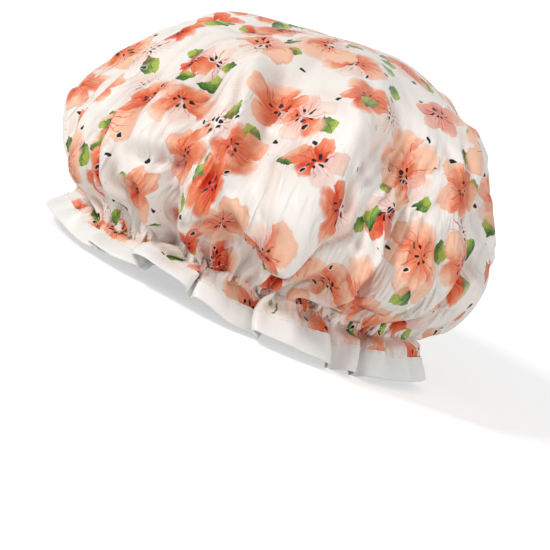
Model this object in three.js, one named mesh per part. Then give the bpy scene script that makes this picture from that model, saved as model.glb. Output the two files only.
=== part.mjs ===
// A bouffant shower cap: a gathered crown of printed satin over a waterproof lining, drawn in by an
// elastic that runs in a sewn channel, with a ruffled hem bound in a white folded strip.
// Millimetres, +Z up. The hem stands on z = 0 round the origin and the wearer's forehead is at -Y.
import * as THREE from "three";

// Crown, over the puffed cloth without its folds
const CROWN_HEIGHT = 190;
const CROWN_LENGTH = 294;
const CROWN_WIDTH = 283;
const CROWN_FORWARD = 2.5; // the crown's middle lies this far towards the forehead
const POLE_SETBACK = 4; // the pole of the cut lies this far behind the middle

// Elastic line, the oval that grips the head. It rides higher over the ears than at brow and nape
const RIM_LENGTH = 226;
const RIM_WIDTH = 193;
const RIM_HEIGHT_ENDS = 23;
const RIM_HEIGHT_SIDES = 31;

// Hem ruffle, from the elastic line out to the edge, which is drawn up over one temple
const HEM_FLARE_ENDS = 21;
const HEM_FLARE_SIDES = 21;
const BAND_WIDTH = 16; // visible width of the white strip
const TEMPLE_LIFT = 11;
const TEMPLE_PLACE = -48; // degrees
const TEMPLE_REACH = 32; // degrees

// Tucks of the hem, as their place in degrees and the way they fall: 1 where the lobe that follows lies on
// top, -1 where the one before does, and 0 for a plain dip between two lobes
const TUCKS = [
  [-113, 1], [-71, 1], [-51, 1], [-34, 0], [-15, 1], [11, 0], [22, 0], [58, -1],
  [81, 0], [98, 1], [124, 0], [140, -1], [165, 0], [180, 1], [203, 0], [226, -1],
];
const TUCK_HALF = 2.4; // degrees from a tuck's place to the edges of the lobes that overlap there
const HEM_FOLD_DEPTH = 9; // from the middle of the hem to the edge of an overlapping lobe
const LOBE_SWELL = 4.5;
const DIP_HEIGHT = 8;

// Long pleats that the elastic draws into the crown. They lean towards one temple
const FOLDS = 15;
const CROWN_FOLD_DEPTH = 5.8;
const FOLD_DRIFT = [
  [2, -0.9, 1.89],
  [3, -1.84, 4.16],
]; // waves round the cap, their size and their start, by which the pleats' spacing strays
const FOLD_SHARPNESS = 0.15; // 0 for even waves, more for round crests between tight valleys
const FOLD_LEAN = 42; // degrees a whole way down
const LEAN_PLACE = -22; // degrees

// Creases of the limp cloth: turns round the cap, turns down it in radians a millimetre, and their start
const CREASE_DEPTH = 3.6;
const CREASE_WIDTH = 0.3; // of a wave's height, over which the cloth turns in a crease
const CREASES = [
  [13, 0.0078, 5.71],
  [9, -0.0281, 3.7],
  [8, 0.0293, 3.41],
  [9, -0.034, 3.24],
  [7, -0.0489, 5.91],
];

// Folds that lie across the pleats, at the temple and again, flatter, behind the other one. Each has its
// height, its half width to the left and to the right, and its path in degrees and shares of the way down
const LAID_FOLDS = [
  { height: 8, left: 11, right: 14, path: [[-60, 0.33], [-43, 0.6], [-35, 0.79]] },
  { height: 7, left: 12, right: 14, path: [[-43, 0.74], [-53, 0.675], [-70, 0.745]] },
  { height: -6, left: 12, right: 12, path: [[-78, 0.58], [-71, 0.73], [-66, 0.86]] },
  { height: 7, left: 11, right: 13, path: [[-29, 0.5], [-21, 0.69], [-23, 0.86]] },
  { height: 7, left: 11, right: 14, path: [[0, 0.58], [-13, 0.71], [-25, 0.88]] },
  { height: 8, left: 11, right: 15, path: [[4, 0.5], [-1, 0.73], [-6, 0.94]] },
  { height: 7, left: 11, right: 14, path: [[26, 0.6], [18, 0.74], [9, 0.9]] },
  { height: 7, left: 11, right: 13, path: [[42, 0.62], [34, 0.74], [26, 0.88]] },
];
const FAR_FOLDS_TURN = 168; // degrees from the folds at the temple to those behind
const FAR_FOLDS_SHARE = 0.7; // of their height
const FOLD_FADE = 8; // over which a fold dies away past its ends

// Plies
const SATIN_PLY = 0.5;
const LINING_PLY = 0.5;
const BAND_PLY = 0.5;
const PLY_GAP = 0.4;

// Elastic and its channel
const ELASTIC_WIDTH = 6;
const ELASTIC_THICKNESS = 0.8;
const ELASTIC_LAP = 22; // length over which its two ends lie on each other
const CHANNEL_WIDTH = 13; // between the two rows of stitching
const ELASTIC_CLEARANCE = 0.3;

// Thread
const THREAD = 0.5;
const SEAM_INSET = 2.2; // hem stitching below the top edge of the white strip
const CHANNEL_INSET = 1; // channel stitching inside the edges of the channel
const TACK_SHARE = 0.6; // how much of the lap is tacked
const TACK_WAVES = 4; // zigzags that tack the ends of the elastic
const TACK_STEPS = 8; // facets along each of them

// Facets
const COLUMN_SPACING = 8.5; // degrees between columns of facets in a lobe of the hem, about
const CROWN_ROWS = [0.16, 0.32, 0.47, 0.59, 0.69, 0.78, 0.88];
const PATH_STEPS = 40; // points along a laid fold from which distances to it are taken
const THREAD_SIDES = 4;

const TURN = 2 * Math.PI;
const BACK = Math.PI / 2; // angle of the nape, where the elastic is joined
const smooth = THREE.MathUtils.smoothstep;
const mix = THREE.MathUtils.lerp;
const clamp = THREE.MathUtils.clamp;
const radians = THREE.MathUtils.degToRad;

// How the plies stack, measured outwards from the middle of the cloth
const SATIN_IN = PLY_GAP / 2;
const SATIN_OUT = SATIN_IN + SATIN_PLY;
const LINING_OUT = -PLY_GAP / 2;
const LINING_IN = LINING_OUT - LINING_PLY;
const BAND_IN = SATIN_OUT + PLY_GAP;
const BAND_OUT = BAND_IN + BAND_PLY;
const BAND_BACK_IN = LINING_IN - PLY_GAP;
const BAND_BACK_OUT = BAND_BACK_IN - BAND_PLY;

// Half the thickness of the elastic where its ends lap, and the opening the channel needs for it:
// the channel narrows evenly from its middle to its seams, so the elastic's edges set the opening.
const LAP_SHIFT = (ELASTIC_THICKNESS + PLY_GAP) / 2;
const LAP_HALF = LAP_SHIFT + ELASTIC_THICKNESS / 2;
const TACK_FACE = LAP_HALF + PLY_GAP;
const CHANNEL_HALF = (TACK_FACE + THREAD + ELASTIC_CLEARANCE) / (1 - ELASTIC_WIDTH / CHANNEL_WIDTH);

// Stations down the cloth: 0 to 1 is the crown, 1 to 2 the channel, 2 to 3 the hem
const SEAM_UPPER = 1;
const CHANNEL_MID = 1.5;
const SEAM_LOWER = 2;
const HEM_EDGE = 3;

const halfLength = CROWN_LENGTH / 2;
const halfWidth = CROWN_WIDTH / 2;
const topAtEnds = RIM_HEIGHT_ENDS + CHANNEL_WIDTH / 2;
const topAtSides = RIM_HEIGHT_SIDES + CHANNEL_WIDTH / 2;

/**
 * An outline of the crown from its pole to the channel, as points (distance from the middle, height).
 * The puff leaves the pole nearly flat, falls round its shoulder and tucks in under itself.
 */
function meridian(points) {
  return new THREE.CatmullRomCurve3(
    points.map(([out, up]) => new THREE.Vector3(out, 0, up)),
    false,
    "centripetal",
  );
}

const reachFront = halfLength + CROWN_FORWARD;
const reachBack = halfLength - CROWN_FORWARD;
const pole = 0.985 * CROWN_HEIGHT;

const front = meridian([
  [POLE_SETBACK, pole],
  [-0.33 * reachFront, 0.94 * CROWN_HEIGHT],
  [-0.66 * reachFront, 0.82 * CROWN_HEIGHT],
  [-0.9 * reachFront, 0.6 * CROWN_HEIGHT],
  [-reachFront, 0.37 * CROWN_HEIGHT],
  [-mix(RIM_LENGTH / 2, reachFront, 0.82), mix(topAtEnds, 0.37 * CROWN_HEIGHT, 0.41)],
  [-mix(RIM_LENGTH / 2, reachFront, 0.37), mix(topAtEnds, 0.37 * CROWN_HEIGHT, 0.13)],
  [-RIM_LENGTH / 2, topAtEnds],
]);
const back = meridian([
  [POLE_SETBACK, pole],
  [0.28 * reachBack, CROWN_HEIGHT],
  [0.52 * reachBack, 0.945 * CROWN_HEIGHT],
  [0.75 * reachBack, 0.8 * CROWN_HEIGHT],
  [0.9 * reachBack, 0.62 * CROWN_HEIGHT],
  [reachBack, 0.4 * CROWN_HEIGHT],
  [mix(RIM_LENGTH / 2, reachBack, 0.83), mix(topAtEnds, 0.4 * CROWN_HEIGHT, 0.25)],
  [mix(RIM_LENGTH / 2, reachBack, 0.35), mix(topAtEnds, 0.4 * CROWN_HEIGHT, 0.055)],
  [RIM_LENGTH / 2, topAtEnds],
]);
const side = meridian([
  [0, pole],
  [0.42 * halfWidth, 0.955 * CROWN_HEIGHT],
  [0.76 * halfWidth, 0.81 * CROWN_HEIGHT],
  [0.94 * halfWidth, 0.59 * CROWN_HEIGHT],
  [halfWidth, 0.38 * CROWN_HEIGHT],
  [mix(RIM_WIDTH / 2, halfWidth, 0.82), mix(topAtSides, 0.38 * CROWN_HEIGHT, 0.67)],
  [mix(RIM_WIDTH / 2, halfWidth, 0.41), mix(topAtSides, 0.38 * CROWN_HEIGHT, 0.26)],
  [RIM_WIDTH / 2, topAtSides],
]);
const crownRun = (front.getLength() + back.getLength() + side.getLength()) / 3;

/** Height of the hem's edge: on the floor, but for the temple. */
function edgeHeight(angle) {
  const off = Math.atan2(Math.sin(angle - radians(TEMPLE_PLACE)), Math.cos(angle - radians(TEMPLE_PLACE)));
  const share = Math.exp(-((off / radians(TEMPLE_REACH)) ** 2));
  return TEMPLE_LIFT * Math.max(0, share - 0.002);
}

/** The middle of the cloth, before it is gathered, at an angle round the cap and a station down it. */
function plainPoint(angle, station) {
  const along = Math.sin(angle);
  const sideways = along * along;
  const t = Math.min(station, SEAM_UPPER);
  const fore = front.getPointAt(t);
  const aft = back.getPointAt(t);
  const flank = side.getPointAt(t);
  const middle = (fore.x + aft.x) / 2;
  const point = new THREE.Vector3(
    flank.x * Math.cos(angle),
    middle + ((aft.x - fore.x) / 2) * along,
    mix(flank.z, along > 0 ? aft.z : fore.z, sideways),
  );
  const down = clamp(station - SEAM_UPPER, 0, 1);
  point.z -= CHANNEL_WIDTH * down;
  if (station > SEAM_LOWER) {
    const share = station - SEAM_LOWER;
    const flare = mix(HEM_FLARE_SIDES, HEM_FLARE_ENDS, sideways) * share;
    const outward = new THREE.Vector3(Math.cos(angle) / RIM_WIDTH, along / RIM_LENGTH, 0).normalize();
    point.addScaledVector(outward, flare);
    point.z = mix(point.z, edgeHeight(angle), share);
  }
  return point;
}

const STEP = 0.01; // of a station or a radian, over which directions are taken

/** Unit direction down the ungathered cloth, from the pole towards the hem. */
function downwards(angle, station) {
  return plainPoint(angle, station + STEP).sub(plainPoint(angle, station - STEP)).normalize();
}

/** Unit direction out of the ungathered cloth. */
function outwards(angle, station) {
  const around = plainPoint(angle + STEP, station).sub(plainPoint(angle - STEP, station));
  return downwards(angle, station).cross(around).normalize();
}

/** Columns of facets round the cap, each with its angle and how far the hem's edge stands out there. */
const columns = TUCKS.flatMap(([place, fall], index) => {
  const wraps = index + 1 === TUCKS.length;
  const [next, nextFall] = wraps ? [TUCKS[0][0] + 360, TUCKS[0][1]] : TUCKS[index + 1];
  const first = place + Math.abs(fall) * TUCK_HALF;
  const last = next - Math.abs(nextFall) * TUCK_HALF;
  const from = fall ? fall * HEM_FOLD_DEPTH : DIP_HEIGHT;
  const to = nextFall ? -nextFall * HEM_FOLD_DEPTH : DIP_HEIGHT;
  const steps = Math.max(2, Math.round((next - place) / COLUMN_SPACING));
  return Array.from({ length: nextFall ? steps + 1 : steps }, (_, step) => {
    const share = step / steps;
    const lobe = mix(from, to, share) + LOBE_SWELL * 4 * share * (1 - share);
    return { angle: radians(mix(first, last, share)), lobe };
  });
});
const COLUMNS = columns.length;

/** Angle at which the pleat through a place meets the elastic. */
function drawn(angle, station) {
  const lean = radians(FOLD_LEAN) * Math.tanh(1.6 * Math.sin(angle - radians(LEAN_PLACE)));
  return angle - lean * clamp(1 - station, 0, 0.6);
}

/** How far a long pleat stands out or in: none at the pole and at the elastic, most low on the crown. */
function pleat(angle, station) {
  const at = drawn(angle, station);
  let turn = FOLDS * at;
  for (const [waves, size, start] of FOLD_DRIFT) turn += size * Math.cos(waves * at + start);
  const wave = -Math.cos(turn) - FOLD_SHARPNESS * Math.cos(2 * turn);
  return CROWN_FOLD_DEPTH * wave * smooth(station, 0.1, 0.6) * (1 - smooth(station, 0.72, 1));
}

/** Creases: a sum of waves folded up at its zero lines, which leaves valleys between soft pillows. */
function crease(angle, station) {
  const at = drawn(angle, station);
  const down = station * crownRun;
  let wave = 0;
  for (const [turns, pitch, start] of CREASES) wave += Math.cos(turns * at + pitch * down + start);
  const pillow = Math.hypot(wave / Math.sqrt(CREASES.length / 2), CREASE_WIDTH) - 0.8;
  return CREASE_DEPTH * pillow * smooth(station, 0.25, 0.5) * (1 - smooth(station, 0.85, 0.98));
}

/** A laid fold as points along its path on the ungathered crown, turned round the cap. */
function laidFold({ height, left, right, path }, degrees, share) {
  const places = path.map(([place, down]) => new THREE.Vector3(radians(place + degrees), down, 0));
  const way = new THREE.CatmullRomCurve3(places).getSpacedPoints(PATH_STEPS);
  return { height: height * share, left, right, points: way.map(({ x, y }) => plainPoint(x, y)) };
}

const laidFolds = LAID_FOLDS.flatMap((fold) => [
  laidFold(fold, 0, 1),
  laidFold(fold, FAR_FOLDS_TURN, FAR_FOLDS_SHARE),
]);

/** How far one laid fold moves a point of the crown: a bell over the distance from its path. */
function laidHeight({ height, left, right, points }, point, normal) {
  let near = 0;
  points.forEach((each, step) => {
    if (each.distanceTo(point) < points[near].distanceTo(point)) near = step;
  });
  const along = points[Math.min(near + 1, PATH_STEPS)].clone().sub(points[Math.max(near - 1, 0)]);
  const aside = normal.clone().cross(along).normalize();
  const gap = point.clone().sub(points[near]);
  const across = gap.dot(aside);
  const beyond = gap.addScaledVector(aside, -across).length();
  const share = near / PATH_STEPS;
  const ends = smooth(share, 0, 0.3) * (1 - smooth(share, 0.75, 1));
  const bell = Math.exp(-((across / (across < 0 ? left : right)) ** 2) - (beyond / FOLD_FADE) ** 2);
  return height * ends * bell;
}

/** How far the gathered cloth stands out from the ungathered one at a column and a station. */
function swellAt({ angle, lobe }, station, point, normal) {
  if (station >= SEAM_LOWER) return lobe * Math.sin((Math.PI / 2) * (station - SEAM_LOWER));
  if (station >= SEAM_UPPER) return 0;
  const laid = laidFolds.reduce((sum, fold) => sum + laidHeight(fold, point, normal), 0);
  return pleat(angle, station) + crease(angle, station) + laid;
}

/** A point of the gathered cloth, lifted off its middle. The hem's edge is lifted level, to lie flat. */
function clothPoint(column, station, lift) {
  const point = plainPoint(column.angle, station);
  const normal = outwards(column.angle, station);
  const swell = swellAt(column, station, point, normal);
  if (station < SEAM_LOWER) return point.addScaledVector(normal, swell + lift);
  const level = new THREE.Vector3(normal.x, normal.y, 0);
  const sheer = level.lengthSq();
  return point.addScaledVector(level.clone().normalize(), swell).addScaledVector(level, lift / sheer);
}

/** Lift of a ply at a station: it leaves its place to clear the elastic in the middle of the channel. */
function plyLift(lift, station) {
  const open = 1 - Math.min(1, Math.abs(station - CHANNEL_MID) / (CHANNEL_MID - SEAM_UPPER));
  return lift + Math.sign(lift) * CHANNEL_HALF * open;
}

/** A ring of points round the cap at one station and lift. */
function ring(station, lift) {
  return { station, points: columns.map((column) => clothPoint(column, station, lift)) };
}

/**
 * Rings joined into one closed skin: a tube bent into a loop, or a bag with a pole at each end. A face
 * that runs up the cloth is split along the same diagonals as one that runs down, so plies stay parallel.
 */
function skin(rings, poles = []) {
  const points = rings.flatMap((each) => each.points);
  const faces = [];
  const at = (row, column) => row * COLUMNS + (column % COLUMNS);
  const bands = poles.length ? rings.length - 1 : rings.length;
  for (let row = 0; row < bands; row++) {
    const next = (row + 1) % rings.length;
    const rising = rings[next].station < rings[row].station;
    for (let column = 0; column < COLUMNS; column++) {
      const corners = [at(row, column), at(next, column), at(next, column + 1), at(row, column + 1)];
      const [a, b, c, d] = rising ? [corners[1], corners[2], corners[3], corners[0]] : corners;
      faces.push(a, b, c, a, c, d);
    }
  }
  if (poles.length) {
    const [first, last] = poles.map((pole) => points.push(pole) - 1);
    for (let column = 0; column < COLUMNS; column++) {
      faces.push(first, at(0, column), at(0, column + 1));
      faces.push(last, at(rings.length - 1, column + 1), at(rings.length - 1, column));
    }
  }
  const geometry = new THREE.BufferGeometry().setFromPoints(points);
  geometry.setIndex(faces);
  return geometry;
}

// Where the strip's edge and the plies it holds stop, as stations of the hem
const hemAtEnds = Math.hypot(HEM_FLARE_ENDS, RIM_HEIGHT_ENDS - CHANNEL_WIDTH / 2);
const hemAtSides = Math.hypot(HEM_FLARE_SIDES, RIM_HEIGHT_SIDES - CHANNEL_WIDTH / 2);
const hemLength = (hemAtEnds + hemAtSides) / 2;
const hemStation = (fromEdge) => HEM_EDGE - fromEdge / hemLength;
const BAND_TOP = hemStation(BAND_WIDTH);
const PLY_EDGE = hemStation(BAND_PLY + PLY_GAP);
const HEM_SEAM = hemStation(BAND_WIDTH - SEAM_INSET);

/** One ply of the crown, from its pole to the edge that the white strip holds. */
function ply(inner, outer) {
  const stations = [...CROWN_ROWS, SEAM_UPPER, CHANNEL_MID, SEAM_LOWER, BAND_TOP, PLY_EDGE];
  const face = (lift) => stations.map((station) => ring(station, plyLift(lift, station)));
  const tip = (lift) => new THREE.Vector3(0, POLE_SETBACK, pole + lift);
  return skin([...face(outer), ...face(inner).reverse()], [tip(outer), tip(inner)]);
}

/** The white strip, folded over the raw edges of both plies. */
function hemBand() {
  return skin([
    ring(BAND_TOP, BAND_OUT),
    ring(HEM_SEAM, BAND_OUT),
    ring(HEM_EDGE, BAND_OUT),
    ring(HEM_EDGE, BAND_BACK_OUT),
    ring(BAND_TOP, BAND_BACK_OUT),
    ring(BAND_TOP, BAND_BACK_IN),
    ring(PLY_EDGE + PLY_GAP / hemLength, BAND_BACK_IN),
    ring(PLY_EDGE + PLY_GAP / hemLength, BAND_IN),
    ring(BAND_TOP, BAND_IN),
  ]);
}

/** A row of stitching, as the thread that lies on the cloth all the way round. */
function stitching(station, lift) {
  const middle = lift + PLY_GAP + THREAD / 2;
  const sides = Array.from({ length: THREAD_SIDES }, (_, corner) => {
    const turn = (TURN * corner) / THREAD_SIDES;
    const side = ring(station, middle + (THREAD / 2) * Math.cos(turn));
    side.points.forEach((point, column) => {
      const down = downwards(columns[column].angle, station);
      point.addScaledVector(down, (THREAD / 2) * Math.sin(turn));
    });
    return side;
  });
  return skin(sides);
}

/** A row of stitching just inside an edge of the channel; towards is 1 at the upper edge, -1 at the lower. */
function channelStitching(edge, towards) {
  const station = edge + (towards * CHANNEL_INSET) / CHANNEL_WIDTH;
  return stitching(station, plyLift(SATIN_OUT, station));
}

/** The elastic: a flat strip laid once round the channel, its end lying on its beginning at the nape. */
function elasticLoop() {
  const lapAngle = ELASTIC_LAP / (RIM_LENGTH / 2);
  const start = BACK - lapAngle / 2;
  const end = BACK + TURN + lapAngle / 2;
  const turns = columns.flatMap(({ angle }) => [angle - TURN, angle, angle + TURN, angle + 2 * TURN]);
  const between = turns.filter((angle) => angle > start && angle < end).sort((a, b) => a - b);
  const sections = [start, ...between, end].map((angle) => {
    const shift = mix(-LAP_SHIFT, LAP_SHIFT, (angle - start) / (end - start));
    const corner = (lift, up) => {
      const point = plainPoint(angle, CHANNEL_MID).addScaledVector(outwards(angle, CHANNEL_MID), lift);
      return point.setZ(point.z + up);
    };
    const [low, high] = [shift - ELASTIC_THICKNESS / 2, shift + ELASTIC_THICKNESS / 2];
    const half = ELASTIC_WIDTH / 2;
    return [corner(high, half), corner(high, -half), corner(low, -half), corner(low, half)];
  });
  return strip(sections);
}

/** Sections joined end to end into a bar with flat ends. */
function strip(sections) {
  const count = sections[0].length;
  const faces = [];
  for (let step = 0; step + 1 < sections.length; step++) {
    for (let corner = 0; corner < count; corner++) {
      const [a, b] = [step * count + corner, step * count + ((corner + 1) % count)];
      faces.push(a, b, b + count, a, b + count, a + count);
    }
  }
  const last = (sections.length - 1) * count;
  for (let corner = 1; corner + 1 < count; corner++) {
    faces.push(0, corner + 1, corner, last, last + corner, last + corner + 1);
  }
  const geometry = new THREE.BufferGeometry().setFromPoints(sections.flat());
  geometry.setIndex(faces);
  return geometry;
}

/** The zigzag of thread that tacks the two ends of the elastic together. */
function elasticTack() {
  const span = (TACK_SHARE * ELASTIC_LAP) / (RIM_LENGTH / 2);
  const swing = ELASTIC_WIDTH / 2 - THREAD;
  const at = (share) => {
    const angle = BACK + span * (share - 0.5);
    const out = outwards(angle, CHANNEL_MID);
    const point = plainPoint(angle, CHANNEL_MID).addScaledVector(out, TACK_FACE + THREAD / 2);
    point.z += swing * Math.sin(TURN * TACK_WAVES * share);
    return { point, out };
  };
  const steps = TACK_WAVES * TACK_STEPS;
  const sections = Array.from({ length: steps + 1 }, (_, step) => {
    const { point, out } = at(step / steps);
    const [before, after] = [at((step - 0.5) / steps), at((step + 0.5) / steps)];
    const aside = after.point.sub(before.point).cross(out).normalize();
    const arms = [out, aside, out.clone().negate(), aside.clone().negate()];
    return arms.map((arm) => point.clone().addScaledVector(arm, THREAD / 2));
  });
  return strip(sections);
}

const satin = new THREE.MeshStandardMaterial({ color: 0xf3d8cc, roughness: 0.38, metalness: 0 });
const lining = new THREE.MeshStandardMaterial({ color: 0xf2f3ee, roughness: 0.55, metalness: 0 });
const band = new THREE.MeshStandardMaterial({ color: 0xf1f1ec, roughness: 0.5, metalness: 0 });
const elastic = new THREE.MeshStandardMaterial({ color: 0xefece4, roughness: 0.85, metalness: 0 });
const thread = new THREE.MeshStandardMaterial({ color: 0xf4f2ea, roughness: 0.7, metalness: 0 });

const cap = new THREE.Group();
cap.name = "shower_cap";

/** Adds one named piece to the cap. */
function piece(name, geometry, material) {
  geometry.computeVertexNormals();
  const mesh = new THREE.Mesh(geometry, material);
  mesh.name = name;
  cap.add(mesh);
}

piece("outer_crown", ply(SATIN_IN, SATIN_OUT), satin);
piece("waterproof_lining", ply(LINING_IN, LINING_OUT), lining);
piece("hem_band", hemBand(), band);
piece("elastic_loop", elasticLoop(), elastic);
piece("elastic_tack", elasticTack(), thread);
piece("channel_stitching_upper", channelStitching(SEAM_UPPER, 1), thread);
piece("channel_stitching_lower", channelStitching(SEAM_LOWER, -1), thread);
piece("hem_stitching", stitching(HEM_SEAM, BAND_OUT), thread);

// The folds fall unevenly, so the cap is set with the middle of its box over the origin
const middle = new THREE.Box3().setFromObject(cap).getCenter(new THREE.Vector3());
cap.children.forEach((mesh) => mesh.geometry.translate(-middle.x, -middle.y, 0));

export default cap;
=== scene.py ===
"""Gathered shower cap: a printed satin crown over a lining film, a turned white hem and an inner elastic.

The satin is one flat disc laid over a smooth cap form. Towards the elastic its spare length runs in
pleats that keep the cloth's own length, a few long folds are laid, and a short relaxation
settles it. The lining, the hem and the stitches are then made along that cloth.
"""

import logging
import math
from dataclasses import dataclass, field
from enum import Enum
from typing import Any, Sequence

import bpy
import numpy as np
from mathutils import Matrix, Vector


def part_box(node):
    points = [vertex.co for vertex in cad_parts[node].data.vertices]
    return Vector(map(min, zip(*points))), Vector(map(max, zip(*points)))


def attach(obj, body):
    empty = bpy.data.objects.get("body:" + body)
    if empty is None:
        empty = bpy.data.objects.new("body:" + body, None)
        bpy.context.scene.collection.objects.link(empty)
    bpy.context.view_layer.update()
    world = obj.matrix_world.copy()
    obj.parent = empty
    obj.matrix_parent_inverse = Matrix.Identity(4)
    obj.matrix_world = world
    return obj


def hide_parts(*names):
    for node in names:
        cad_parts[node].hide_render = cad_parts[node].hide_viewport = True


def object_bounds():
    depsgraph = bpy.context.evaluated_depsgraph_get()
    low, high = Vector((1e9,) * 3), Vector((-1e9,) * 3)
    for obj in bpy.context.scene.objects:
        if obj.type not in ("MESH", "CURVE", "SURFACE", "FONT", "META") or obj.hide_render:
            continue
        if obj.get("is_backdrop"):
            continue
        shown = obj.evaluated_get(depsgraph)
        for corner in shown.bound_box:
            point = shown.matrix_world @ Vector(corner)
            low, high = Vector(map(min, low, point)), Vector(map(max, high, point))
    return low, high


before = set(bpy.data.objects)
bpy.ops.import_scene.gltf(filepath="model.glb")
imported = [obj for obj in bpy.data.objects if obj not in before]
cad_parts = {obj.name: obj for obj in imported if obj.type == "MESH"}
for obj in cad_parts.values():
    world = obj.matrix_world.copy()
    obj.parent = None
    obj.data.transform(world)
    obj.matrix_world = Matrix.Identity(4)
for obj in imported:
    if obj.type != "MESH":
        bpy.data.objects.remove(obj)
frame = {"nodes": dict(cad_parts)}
CAD_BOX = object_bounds()

LOG = logging.getLogger("shower_cap")
Array = np.ndarray
MM = 0.001
TURN = 2 * math.pi


class Slot(Enum):
    """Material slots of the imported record."""

    SATIN = "printed_satin"
    LINING = "lining_film"
    BINDING = "binding_film"
    ELASTIC = "elastic"
    THREAD = "thread"


def unit(v: Array) -> Array:
    """Returns the vectors at length one."""
    return v / np.maximum(np.linalg.norm(v, axis=-1, keepdims=True), 1e-12)


def ramp(low: float, high: float, x: Array) -> Array:
    """Returns the smooth step of x from low to high."""
    s = np.clip((x - low) / (high - low), 0, 1)
    return s * s * (3 - 2 * s)


def spline(points: Sequence[tuple[float, ...]], t: Array) -> Array:
    """Runs a smooth curve through a few points.

    Args:
        points: the points on the curve.
        t: shares of the way along, 0 to 1, in any shape.

    Returns:
        The curve's points at t: cubic pieces between the points, each sloped as its neighbours are.
    """
    p = np.asarray(points, float)
    knots = np.concatenate([[0.0], np.cumsum(np.linalg.norm(np.diff(p, axis=0), axis=1))])
    knots /= knots[-1]
    slope = np.gradient(p, knots, axis=0, edge_order=1)
    i = np.clip(np.searchsorted(knots, t, side="right") - 1, 0, len(knots) - 2)
    h = (knots[i + 1] - knots[i])[..., None]
    s = (t - knots[i])[..., None] / h
    start = (1 + 2 * s) * (1 - s) ** 2 * p[i] + s * (1 - s) ** 2 * h * slope[i]
    return start + s * s * (3 - 2 * s) * p[i + 1] + s * s * (s - 1) * h * slope[i + 1]


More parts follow.
